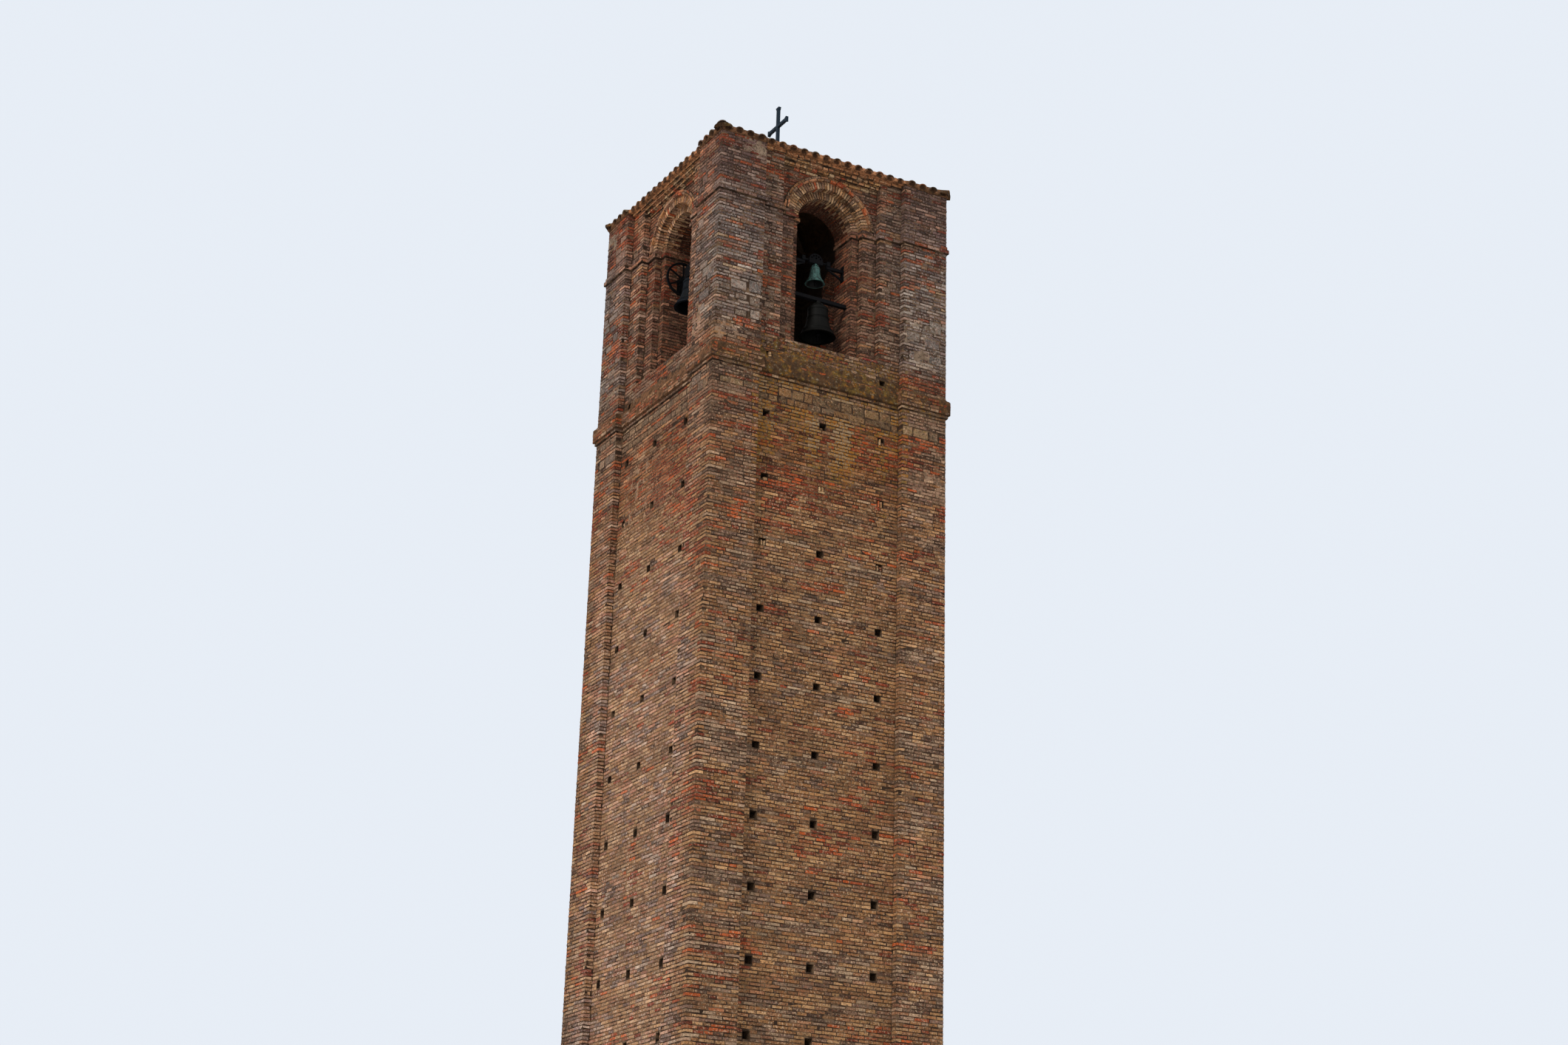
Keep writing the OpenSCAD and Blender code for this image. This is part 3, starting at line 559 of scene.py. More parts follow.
def weather(centres):
    """How age tints the walls, with painted light and shade among the tints: from the pilasters' face to the panels and
    on into the openings, and down them. The side faces get a painted light, and the jambs darken into the openings,
    partly their own deep red and partly painted shade.
    """
    below = IMPOST - centres[:, 2]
    deep = np.minimum(HALF_X - np.abs(centres[:, 0]), HALF_Y - np.abs(centres[:, 1]))

    def down(levels, tints):
        tints = np.array(tints)
        return np.stack([np.interp(below, levels, tints[:, c]) for c in range(3)], axis=1)

    pilaster = down([-1.3, -0.4, 0.8, 2.5, 3.1, 3.7, 4.6, 9.0],
                    [(0.60, 0.48, 0.49), (0.69, 0.58, 0.61), (0.93, 0.95, 1.06), (0.98, 0.96, 0.99),
                     (0.88, 0.66, 0.50), (1.04, 0.86, 0.72), (1.14, 0.88, 0.70), (1.26, 1.06, 0.88)])
    panel = down([-1.3, -0.2, 0.5, 2.2, 2.8, 3.5, 4.8, 6.2],
                 [(0.80, 0.66, 0.56), (0.80, 0.70, 0.70), (0.82, 0.74, 0.74), (0.88, 0.74, 0.66),
                  (0.80, 0.66, 0.58), (1.02, 0.79, 0.59), (0.90, 0.58, 0.37), (1.21, 1.01, 0.82)])
    # Painted shade, partly: the jambs are tinted darker and redder the deeper they lie in the openings, partly their
    # own deep red and partly the shade inside the belfry.
    jamb = np.array([(0.76, 0.48, 0.38)])
    to_panel = ramp(deep, 0.0, STEP)[:, None]
    to_jamb = ramp(deep, STEP + 0.02, 0.26)[:, None]
    sides = (HALF_X - np.abs(centres[:, 0]) < HALF_Y - np.abs(centres[:, 1]))[:, None]
    # Painted light: the side faces are tinted lighter by height, as if lit from the side, less so near the front and
    # rear corners.
    lit = down([-1.3, 0.0, 1.5, 4.0, 9.0], [(1.62, 1.44, 1.26), (1.36, 1.22, 1.12), (1.14, 1.06, 1.04),
                                            (1.12, 1.18, 1.28), (1.26, 1.38, 1.72)])
    corner = ramp(HALF_Y - np.abs(centres[:, 1]), 0.16, 0.5)[:, None]
    tint = (pilaster * (1 - to_panel) + panel * to_panel) * np.where(sides, 1 + (lit - 1) * corner, 1.0)
    return tint * (1 - to_jamb) + jamb * to_jamb * np.where(sides, 1.12, 1.0)


# Blocks that patch the belfry, in centimetres: x from and to, how far top and foot lie below the impost
PATCH_BLOCKS = {
    FRONT: [(-220, -186, 180, 198), (-182, -156, 170, 198), (-180, -157, 205, 224), (-210, -184, 206, 220),
        (-210, -184, 238, 252), (-178, -157, 234, 248), (-242, -220, 192, 205), (212, 240, 150, 176),
        (160, 192, 186, 206), (200, 236, 190, 208), (166, 198, 224, 242), (210, 242, 226, 246), (115, 142, 200, 214),
        (125, 146, 86, 100), (112, 132, 98, 112), (-142, -120, 195, 210)],
    LEFT: [(156, 175, 85, 100), (175, 205, 130, 142), (185, 220, 148, 162), (202, 234, 160, 178), (162, 190, 172, 186),
        (175, 215, 192, 210), (172, 200, 216, 230), (160, 182, 30, 50), (162, 186, -75, -62), (170, 190, -55, -40),
        (158, 180, -34, -20), (-185, -157, -85, -72), (-205, -180, -65, -52), (-202, -160, -48, -30),
        (-240, -208, -30, -17), (-215, -192, 27, 40), (-240, -220, 36, 50), (-222, -194, 60, 72), (-240, -224, 78, 94),
        (-220, -180, 76, 94), (-238, -214, 98, 112), (-210, -186, 106, 120), (-195, -175, 124, 144),
        (-225, -200, 146, 158), (-180, -157, 186, 200), (-212, -178, 202, 216), (-240, -218, 226, 242),
        (-200, -176, 226, 240), (-150, -128, 130, 142), (-146, -120, 200, 214), (-144, -122, 20, 34),
        (-150, -130, -40, -26), (120, 150, -66, -50), (126, 150, -20, -6), (124, 146, 30, 48)],
}
# Plaster: face, x from and to, top and foot below the impost, how deep it lies, how much it hides, how pink
PLASTER = [
    (FRONT, -1.97, -1.55, -1.22, -0.94, 0.0, 0.6, 0.2), (FRONT, 1.60, 2.42, 1.42, 1.80, 0.0, 0.05, 0.0),
    (FRONT, 1.62, 2.30, 1.84, 2.12, 0.0, 0.10, 0.1), (FRONT, 1.75, 2.42, 2.18, 2.56, 0.0, 0.0, 0.2),
    (FRONT, -2.45, -1.9, 2.66, 3.04, 0.0, 0.1, 0.7), (FRONT, 1.75, 2.42, 4.7, 5.15, 0.0, -0.1, 0.7),
    (LEFT, -2.38, -2.0, -1.02, -0.74, 0.0, 0.9, 0.0), (LEFT, 1.56, 1.82, 2.1, 2.75, 0.0, 0.3, 0.7),
    (LEFT, -1.25, -0.32, 4.5, 5.8, STEP, -0.25, 0.9), (LEFT, -2.4, -1.6, 2.55, 2.8, 0.0, 0.1, 0.3),
]


class Stretch:
    """One straight stretch of a wall's plan. x0 is where it starts along its face, or None for a return."""

    def __init__(self, face, start, end):
        self.start = np.array(start, float)
        run = np.array(end, float) - self.start
        self.length = float(np.hypot(*run))
        self.along = run / self.length
        self.out = np.array([self.along[1], -self.along[0]])
        self.opens = self.closes = False
        self.face, self.x0 = face, None
        for i in range(4):
            if np.dot(self.along, face_axes(i)[0]) > 0.9 and np.dot(self.out, face_axes(i)[1]) > 0.9:
                if i == face or np.dot(self.start, face_axes(i)[1]) > face_out(i) - 0.001:
                    self.face = i
                    self.x0 = float(np.dot(self.start, face_axes(i)[0]))
        self.depth = face_out(self.face) - float(np.dot(self.start, face_axes(self.face)[1]))

    def corner(self, s, z):
        return (*(self.start + self.along * s), z)


def wall_plan(points, closed=False, grow=0.0):
    """Stretches through (face, x, y) points, walked with the outside on the right; grow moves them out."""
    flat = [np.array(to_plan(*p), float) for p in points]
    count = len(flat)
    pairs = count if closed else count - 1
    ahead = [flat[(k + 1) % count] - flat[k] for k in range(pairs)]
    ahead = [run / np.hypot(*run) for run in ahead]
    outs = [np.array([run[1], -run[0]]) for run in ahead]
    moved = []
    for k in range(count):
        shift = np.zeros(2)
        if closed or k > 0:
            shift += outs[(k - 1) % pairs]
        if closed or k < count - 1:
            shift += outs[k % pairs]
        moved.append(flat[k] + grow * shift)
    stretches = [Stretch(points[k][0], moved[k], moved[(k + 1) % count]) for k in range(pairs)]
    for k in range(pairs):
        if closed or k < pairs - 1:
            nxt = stretches[(k + 1) % pairs]
            convex = stretches[k].along[0] * nxt.along[1] - stretches[k].along[1] * nxt.along[0] > 0
            stretches[k].closes = nxt.opens = convex
    return stretches


# The steps of a face's right half from the deepest out: an opening's jamb, an arch's panel, and the shaft's panel
JAMB_STEPS = [(OPEN_R, WALL_T), (OPEN_R, 3 * STEP), (ORDER_R, 3 * STEP), (ORDER_R, 2 * STEP),
              (STRIP_R, 2 * STEP), (STRIP_R, STEP), (RECESS, STEP), (RECESS, 0)]
ARCH_STEPS = JAMB_STEPS[4:]
SHAFT_STEPS = JAMB_STEPS[6:]


def round_points(steps):
    """Points (face, x, y) once round the tower."""
    points = []
    for face in range(4):
        line = [(-half_width(face), 0)] + [(-x, y) for x, y in reversed(steps)] + steps
        points += [(face, x, y) for x, y in line]
    return points


def corner_points(face):
    """Points round one corner of the belfry, from one opening to the next."""
    points = [(face, x, y) for x, y in JAMB_STEPS + [(half_width(face), 0)]]
    return points + [((face + 1) % 4, -x, y) for x, y in reversed(JAMB_STEPS)]


def full_plan(grow=0.0):
    return wall_plan(round_points(SHAFT_STEPS), True, grow)


MODULES = (STRETCHER + JOINT, 0.26, HEADER + JOINT, HEADER + JOINT, 0.20, 0.23)


def brick_ends(start, end, avoid):
    """Where the bricks between start and end stop, clear of the joints under them; the joint is included."""
    ends = []
    at = start
    while end - at > MODULES[0] + 0.10:
        wish = chance.choice(MODULES)
        for size in (wish, MODULES[0], MODULES[4], MODULES[2]):
            if all(abs(at + size - joint) > 0.035 for joint in avoid):
                break
        at += size
        ends.append(at)
    if end - at > MODULES[0] + 0.03:
        ends.append(at + (end - at) * chance.uniform(0.42, 0.58))
    ends.append(end + JOINT)
    return ends


def blocked_window(face, x, z):
    """Whether a brick lies in the walled-up window of the left side."""
    below = IMPOST - z
    return face == LEFT and 4.55 < below < 5.58 and -0.275 + 0.12 * (5.58 - below) < x < 0.605


class Laying:
    """Lays courses on stretches, round blocked places, into the four faces' pieces."""

    def __init__(self, pieces, blocks=None, hole=None):
        self.pieces, self.blocks, self.hole = pieces, blocks or {}, hole
        self.joints = {}

    def ruin(self, stretch, s, z):
        """The share of broken bricks: most round the scaffold holes."""
        if stretch.x0 is None or not self.blocks:
            return 0.03
        x = stretch.x0 + s
        if stretch.face == FRONT and ((x + 1.5) / 0.55) ** 2 + ((z - IMPOST + 2.65) / 0.38) ** 2 < 1:
            return 0.6
        closest = min(((x - (a + b) / 2) / 1.5) ** 2 + (z - (c + d) / 2) ** 2 for a, b, c, d in HOLES[:8])
        return 0.03 + 0.6 * max(0.0, 1 - closest / (0.08 if x < -1 else 0.05))

    def blocked(self, stretch, low, high):
        """The blocked spans of a course along a stretch, each as its ends at the bottom and at the top."""
        spans = []
        if stretch.x0 is None:
            return spans
        for x0, x1, z0, z1 in self.blocks.get(stretch.face, ()):
            if min(high, z1) - max(low, z0) > 0.4 * (high - low):
                spans.append((x0, x0, x1, x1))
        if self.hole is not None and stretch.depth > STEP + 0.01:
            radius, centre = self.hole
            wide = [math.sqrt(max(0.0, radius ** 2 - (z - centre) ** 2)) for z in (low, high)]
            if max(wide) > 0.02:
                spans.append((-wide[0], -wide[1], wide[0], wide[1]))
        x0, x1 = stretch.x0, stretch.x0 + stretch.length
        return sorted((a - x0, b - x0, c - x0, d - x0) for a, b, c, d in spans if a < x1 and c > x0)

    def course(self, key, stretch, low, high, even, lichen):
        piece = self.pieces[stretch.face]
        normal = (*stretch.out, 0.0)
        z0, z1 = low + JOINT / 2, high - JOINT / 2

        def put(s0, t0, s1, t1, depth=BED):
            grown = lichen(stretch, (s0 + s1) / 2, low) if lichen else 0.0
            pick, proud = "wall", None
            if stretch.x0 is not None and blocked_window(stretch.face, stretch.x0 + (s0 + s1) / 2, (low + high) / 2):
                pick, proud = "infill", 0.002
            elif chance.random() < self.ruin(stretch, (s0 + s1) / 2, (low + high) / 2):
                # A broken brick is laid red, or dark as painted shade in a hole where a brick is gone.
                pick, proud = chance.choice(("dark", "red", "red")), chance.uniform(0.001, 0.004)
            foot, top = z0 + chance.uniform(-0.003, 0.005), z1 + chance.uniform(-0.006, 0.003)
            piece.add([stretch.corner(s0, foot), stretch.corner(s1, foot + chance.uniform(-0.002, 0.002)),
                       stretch.corner(t1, top), stretch.corner(t0, top + chance.uniform(-0.002, 0.002))], normal, depth,
                      proud, pick, grown)

        spans = self.blocked(stretch, low, high)
        left, right = 0.003, stretch.length - 0.003
        if stretch.opens:
            size = min([chance.uniform(0.2, 0.285), stretch.length - 0.006]
                       + [min(a, b) - JOINT for a, b, c, d in spans])
            if even:
                left = self.head + JOINT
            elif size > 0.04:
                put(-PROUD, -PROUD, size, size, self.head)
                left = size + JOINT
        if stretch.closes:
            start = max([stretch.length - chance.uniform(0.2, 0.285), 0.006]
                        + [max(c, d) + JOINT for a, b, c, d in spans])
            if not even:
                right = stretch.length - self.head - JOINT
            elif stretch.length - start > 0.04:
                put(start, start, stretch.length + PROUD, stretch.length + PROUD, self.head)
                right = start - JOINT
        free = []
        a0, a1 = left, left
        for b0, b1, c0, c1 in spans:
            free.append((a0, a1, b0 - 0.006, b1 - 0.006))
            a0, a1 = max(a0, c0 + 0.006), max(a1, c1 + 0.006)
        free.append((a0, a1, right, right))
        old = self.joints.get(key, ())
        new = []
        for a0, a1, b0, b1 in free:
            start, end = max(a0, a1), min(b0, b1)
            if end - start < 0.05:
                if min(b0 - a0, b1 - a1) > 0.015 and max(b0 - a0, b1 - a1) > 0.05:
                    put(a0, a1, b0, b1)
                continue
            s0, t0 = a0, a1
            for stop in brick_ends(start, end, old):
                if stop >= end:
                    put(s0, t0, b0, b1)
                else:
                    put(s0, t0, stop - JOINT, stop - JOINT)
                    new.append(stop)
                s0 = t0 = stop
        self.joints[key] = new

    def lay(self, stretches, z0, z1, count, lichen=None, first=0):
        rise = (z1 - z0) / count
        for c in range(count):
            self.head = chance.uniform(0.10, 0.14)
            for k, stretch in enumerate(stretches):
                self.course(k, stretch, z0 + c * rise, z0 + (c + 1) * rise, (c + first) % 2 == 0, lichen)


# Stone blocks among the bricks: face, x from and to, top and height below the impost, as in the photograph
STONE_ROWS = [
    (FRONT, -1.06, 1.36, 3.632, 0.198), (FRONT, -1.50, 1.52, 3.830, 0.132),
    (FRONT, -2.34, -1.54, 3.764, 0.132), (FRONT, 1.54, 2.34, 3.830, 0.198),
    (LEFT, -1.54, 1.36, 3.566, 0.132), (LEFT, -1.54, 1.20, 3.830, 0.132), (LEFT, -2.26, -1.54, 3.566, 0.132),
    (LEFT, -2.26, -1.54, 3.896, 0.198), (LEFT, 1.60, 1.98, 3.566, 0.198), (LEFT, 1.86, 2.26, 3.764, 0.198),
]


def face_pieces(name):
    return [Masonry("%s_%s" % (FACE_NAMES[face], name)) for face in range(4)]


def putlog_blocks():
    """The scaffold holes of every face: x from and to, z from and to."""
    blocks = []
    for row in range(PUTLOG_ROWS):
        z = IMPOST - PUTLOG_DOWN - (PUTLOG_PITCH + (row - 1) * SHAFT_PITCH if row else 0)
        for x in PUTLOG_COLUMNS if row else PUTLOG_COLUMNS[::2]:
            blocks.append((x - PUTLOG / 2, x + PUTLOG / 2, z - PUTLOG / 2, z + PUTLOG / 2))
    return blocks


HOLES = putlog_blocks()


def stone_rows(face):
    """The stone rows of a face; the rear repeats the front, and the right side the left."""
    like = face if face in (FRONT, LEFT) else (FRONT if face == REAR else LEFT)
    return [(x0, x1, IMPOST - top - height, IMPOST - top) for f, x0, x1, top, height in STONE_ROWS if f == like]


def rough_block(x0, x1, z0, z1, least, most):
    """A block's corners, each drawn in by chance."""
    jog = [chance.uniform(least, most) for _ in range(8)]
    return [(x0 + jog[0], z0 + jog[1]), (x1 - jog[2], z0 + jog[3]),
            (x1 - jog[4], z1 - jog[5]), (x0 + jog[6], z1 - jog[7])]


def wall_depth(x0, x1):
    """0 where the span lies on a pilaster, and a step where it lies in the panel."""
    return 0.0 if abs(x0 + x1) / 2 > RECESS else STEP


def lay_stones(pieces):
    for face, piece in enumerate(pieces):
        kind, lichen = ("stone", 0.40) if face % 2 == 0 else ("block", 0.1)
        for x, x1, z0, z1 in stone_rows(face):
            y = wall_depth(x, x1)
            while x < x1 - 0.05:
                wide = chance.uniform(0.16, 0.36)
                if x1 - x < wide + 0.14:
                    wide = x1 - x
                corners = rough_block(x, x + wide, z0, z1, 0.000, 0.016)
                chance.random()  # not used, but the draws after it depend on it
                piece.add(on_face(face, y, corners), outward(face), 0.004, chance.uniform(0.002, 0.012), kind,
                          lichen, 3.0)
                x += wide


def streaks(stretch, s, z):
    """Lichen that runs down the panels under the band, thickest beside the pilasters."""
    below = IMPOST - z
    fade = min(1.0, max(0.5, 1.35 - (below - 3.5) / 4.0))
    on_front = stretch.face % 2 == 0
    if stretch.x0 is None:
        return (0.52 if on_front and stretch.face == FRONT else 0.30) * fade
    x = stretch.x0 + s
    if stretch.depth < 0.1:
        return (0.40 if below < 3.75 else 0.24) * fade - (0 if on_front else 0.12)
    edge = RECESS - abs(x)
    beside = max(0.0, 1 - edge / (0.14 if x > 0 else 0.34))
    upper = max(0.0, 1 - max(0.0, below - 4.3) / 0.8)
    amount = 0.44 + 0.16 * beside + 0.08 * upper + 0.44 * (smooth_noise([[x, 0.0, z]], (0.15, 1, 1.6))[0] - 0.5)
    return (amount if on_front else amount - 0.26) * fade


def patches_on(face, low, high, courses):
    """The patch blocks of a face between two levels, drawn out to whole courses."""
    rise = (high - low) / courses
    found = []
    for x0, x1, top, foot in (np.array(block) / 100 for block in PATCH_BLOCKS.get(face, ())):
        if low < IMPOST - (top + foot) / 2 < high:
            z0 = low + round((IMPOST - foot - low) / rise) * rise
            z1 = low + round((IMPOST - top - low) / rise) * rise
            found.append((x0, x1, max(z0, low), max(z1, z0 + 2 * rise)))
    return found


def lay_patches(pieces, low, high, courses):
    for face, piece in enumerate(pieces):
        for x0, x1, z0, z1 in patches_on(face, low, high, courses):
            corners = rough_block(x0, x1, z0, z1, 0.002, 0.014)
            piece.add(on_face(face, wall_depth(x0, x1), corners), outward(face), BED,
                      chance.uniform(0.002, 0.009), "block", 0.15, 2.5)


def lay_shaft():
    pieces = face_pieces("shaft_bricks")
    blocks = {face: HOLES + stone_rows(face) for face in range(4)}
    courses = int(BAND_BOTTOM / PITCH)
    foot = BAND_BOTTOM - courses * PITCH
    laying = Laying(pieces, blocks)
    laying.lay(full_plan(), 0.0, foot, count=1)
    laying.lay(full_plan(), foot, BAND_BOTTOM, count=courses, lichen=streaks)
    lay_stones(pieces)
    return pieces


# Loose bricks in the scaffold holes, by row and column, in millimetres: x from and to, z from and to, and proud
LOOSE = {
    (0, 0): [(0, 68, -70, -8, 10, "loose"), (4, 66, -4, 52, 4, "loose")],
    (1, 2): [(-50, -6, -70, 60, 4, "loose"), (4, 62, -70, -20, 0, "stone")],
    (1, 0): [(0, 66, -70, -10, 0, "red")],
    (2, 1): [(-68, 68, -70, -30, 12, "loose"), (-60, -16, -26, 66, 10, "loose"), (10, 56, -26, 60, 6, "loose")],
    (2, 2): [(-56, -12, -70, 60, 2, "red"), (0, 46, -70, 50, 0, "pale")],
    (2, 0): [(-20, 66, -70, -12, 4, "pale")],
    (1, 1): [(-66, 20, -70, -16, -20, "pale")],
    (3, 0): [(-34, 4, -70, 36, 0, "loose"), (20, 62, -70, 30, 0, "pale")],
    (3, 2): [(-58, -14, -70, 34, 0, "pale"), (12, 60, -70, 20, 0, "red")],
}


def fill_holes(pieces):
    """Loose bricks in the front's scaffold holes, laid flat or stood on end, and a slab on its sill; the rear too."""
    high = IMPOST - PUTLOG_DOWN - PUTLOG_PITCH
    rows = [IMPOST - PUTLOG_DOWN, high, high - SHAFT_PITCH, high - 2 * SHAFT_PITCH]
    slab = [(ORDER_R - 0.06, SILL), (STRIP_R - 0.01, SILL), (STRIP_R - 0.01, SILL + 0.045),
            (ORDER_R - 0.02, SILL + 0.040)]
    for face in (FRONT, REAR):
        out = outward(face)
        for (row, column), bricks in LOOSE.items():
            for *sizes, family in bricks:
                x0, x1, z0, z1, proud = (size / 1000 for size in sizes)
                tilt = chance.uniform(-0.006, 0.006)
                corners = [(x0, z0), (x1, z0), (x1 + tilt, z1), (x0 + tilt, z1)]
                corners = [(PUTLOG_COLUMNS[column] + x, rows[row] + z) for x, z in corners]
                pieces[face].add(on_face(face, STEP, corners), out, 0.11, proud, family, 0.1)
        pieces[face].add(on_face(face, STEP, slab), out, 0.13, 0.004, "slab")


def lay_band_and_parapet():
    pieces = face_pieces("parapet_bricks")
    laying = Laying(pieces, dict.fromkeys(range(4), HOLES))
    grown = lambda stretch, s, z: 0.46 if stretch.face % 2 == 0 else 0.26
    laying.lay(full_plan(BAND_OUT / 2), BAND_BOTTOM, BAND_BOTTOM + BAND_FOOT, count=1, lichen=grown)
    laying.lay(full_plan(BAND_OUT), BAND_BOTTOM + BAND_FOOT, BAND_TOP - BAND_SLOPE, count=BAND_COURSES,
               lichen=grown, first=1)
    on_parapet = lambda stretch, s, z: (0.48 if stretch.depth > 0.1 else 0.32) - 0.18 * (stretch.face % 2)
    laying.lay(full_plan(), BAND_TOP, SILL, count=PARAPET_COURSES, lichen=on_parapet, first=1)
    fill_holes(pieces)
    return pieces


def lay_belfry():
    pieces = face_pieces("belfry_bricks")
    laying = Laying(pieces, {face: patches_on(face, SILL, IMPOST, BELFRY_COURSES) for face in range(4)})
    lay_patches(pieces, SILL, IMPOST, BELFRY_COURSES)
    for corner in range(4):
        laying.joints = {}
        points = corner_points(corner)
        middle = IMPOST + IMPOST_COURSE
        laying.lay(wall_plan(points), SILL, IMPOST, count=BELFRY_COURSES)
        laying.lay(wall_plan(points, grow=IMPOST_OUT), IMPOST, middle, count=1, lichen=lambda *_: 0.26)
        laying.lay(wall_plan(points, grow=IMPOST_OUT / 3), middle, IMPOST_TOP, count=1, lichen=lambda *_: 0.24, first=1)
    return pieces


def lay_arch_walls(pieces):
    """The walls round the arches, up to the cornice in the panels and to the eaves elsewhere."""
    stretches = wall_plan(round_points(ARCH_STEPS), True)
    sunk = lambda stretch: stretch.x0 is not None and stretch.depth > STEP + 0.01
    deep = [s for s in stretches if sunk(s)]
    rest = [s for s in stretches if not sunk(s)]
    grown = lambda stretch, s, z: 0.1 + 0.25 * max(0.0, (z - CORNICE_LOW) / 0.3)
    Laying(pieces, hole=(HOOD_TOP_R, ARCH_Z)).lay(deep, IMPOST_TOP, CORNICE_LOW, count=ARCH_COURSES - 3)
    blocks = {face: patches_on(face, IMPOST_TOP, WALL_TOP, ARCH_COURSES) for face in range(4)}
    Laying(pieces, blocks).lay(rest, IMPOST_TOP, WALL_TOP, count=ARCH_COURSES, lichen=grown)
    lay_patches(pieces, IMPOST_TOP, WALL_TOP, ARCH_COURSES)


def arch_point(face, r, angle, y):
    return (*to_plan(face, r * math.cos(angle), y), ARCH_Z + r * math.sin(angle))


def arch_bounds(r0, r1, sizes):
    """The joints of a ring that springs from the impost's top: an angle at each radius."""
    rise = IMPOST_TOP - ARCH_Z
    foot0, foot1 = math.asin(rise / r0), math.asin(rise / r1)
    mid = (r0 + r1) / 2
    angles, at = [], foot0
    while at < math.pi - foot0 - 0.6 * max(sizes) / mid:
        at += chance.uniform(*sizes) / mid
        angles.append(at)
    stretch = (math.pi - 2 * foot0) / (angles[-1] - foot0)
    angles = [foot0 + (a - foot0) * stretch for a in angles]
    return [(foot0, foot1)] + [(a, a) for a in angles[:-1]] + [(math.pi - foot0, math.pi - foot1)]


def lay_ring(piece, face, r0, r1, y, depths, sizes, family="arch", lichen=0.15, outs=None):
    """One ring of an arch; returns its joints."""
    joints = arch_bounds(r0, r1, sizes)
    low, high = r0 - PROUD, r1 - 0.002
    gap = JOINT * 0.45
    for k, ((a0, a1), (b0, b1)) in enumerate(zip(joints, joints[1:])):
        ahead = outs((a1 + b1) / 2) if outs else 0.0
        corners = [arch_point(face, r, angle, y - ahead) for r, angle in (
            (low, a0 + gap / low), (high, a1 + gap / high), (high, b1 - gap / high), (low, b0 - gap / low))]
        kind = family
        if family == "voussoir" and abs((a1 + b1) / 2 - 1.93) < 0.035:
            kind = "orange"
        piece.add(corners, outward(face), depths[k % len(depths)] + ahead, None, kind, lichen)
    return joints


def lay_arches(pieces):
    """The flush ring, the two rings of the hood, the ring of the opening, and the courses of its underside."""
    crown = math.asin((CORNICE_LOW - 0.02 - ARCH_Z) / HOOD_TOP_R)
    gap = 0.0055 / OPEN_R
    for face, piece in enumerate(pieces):
        lay_ring(piece, face, ORDER_R, HOOD_R, 2 * STEP, [STEP], (0.054, 0.064), "voussoir", 0.22)
        for r, out, lichen, ahead in ((HOOD_R, HOOD_OUT, 0.30, 0.004),
                                      (HOOD_R + HOOD_RING, HOOD_EDGE_OUT, 0.34, 0.014)):
            lay_ring(piece, face, r, r + HOOD_RING, 2 * STEP - out, [out + BED], (0.12, 0.21), "hood", lichen,
                     lambda a: ahead if crown < a < math.pi - crown else 0.0)
        depths = [0.135, 0.275]
        joints = lay_ring(piece, face, OPEN_R, ORDER_R, 3 * STEP, depths, (0.055, 0.062), "arch", 0.2)
        base = to_plan(face, 0, 0)
        for k, ((a0, _), (b0, _)) in enumerate(zip(joints, joints[1:])):
            middle = (a0 + b0) / 2
            edge = to_plan(face, -math.cos(middle), 0)
            inward = (edge[0] - base[0], edge[1] - base[1], -math.sin(middle))
            y = 3 * STEP + depths[k % 2] + JOINT
            while y < WALL_T - 0.02:
                stop = min(y + chance.choice((0.27, 0.27, 0.20, 0.135)), WALL_T - 0.003)
                if WALL_T - stop < 0.06:
                    stop = WALL_T - 0.003
                corners = ((a0 + gap, y), (b0 - gap, y), (b0 - gap, stop), (a0 + gap, stop))
                piece.add([arch_point(face, OPEN_R, a, deep) for a, deep in corners], inward, BED, None, "soffit", 0.1)
                y = stop + JOINT


def lay_cornice(pieces):
    """Three corbelled courses over each arch, and the thin one over them from pilaster to pilaster."""
    courses = [(2 * STEP - CORNICE_OUTS[k], STRIP_R - 0.004, 0.07, CORNICE_LOW + k * CORNICE_H - 0.004,
                CORNICE_LOW + (k + 1) * CORNICE_H - 0.011) for k in range(3)]
    courses.append((STEP - CORNICE_TOP_OUT, RECESS - 0.004, CORNICE_TOP_OUT + 0.01, WALL_TOP - CORNICE_TOP_H - 0.004,
                    WALL_TOP + EAVES_RISE / 2 + 0.004))
    for face, piece in enumerate(pieces):
        for k, (y, half, deep, z0, z1) in enumerate(courses):
            cut = math.sqrt(HOOD_TOP_R ** 2 - (z0 + 0.03 - ARCH_Z) ** 2) if k == 0 else 0.0
            x = -half
            while x < half - 0.03:
                size = chance.uniform(0.118, 0.136) if k in (1, 2) else chance.choice((0.27, 0.27, 0.2, 0.135))
                if k == 2 and x < -0.5:
                    size = 0.28
                if half - x < size + 0.07:
                    size = half - x
                a, b = x, x + size - 0.010
                x += size
                if cut and a < -cut < b:
                    b = -cut
                elif cut and a < cut < b:
                    a = cut
                if (cut and -cut < (a + b) / 2 < cut) or b - a < 0.02:
                    continue
                lift = chance.uniform(-0.003, 0.003)
                corners = ((a, z0 + lift), (b, z0 + lift), (b, z1 + lift), (a, z1 + lift))
                piece.add(on_face(face, y, corners), outward(face), deep, None, "eaves" if k == 3 else "cornice",
                          0.26, 1.3)


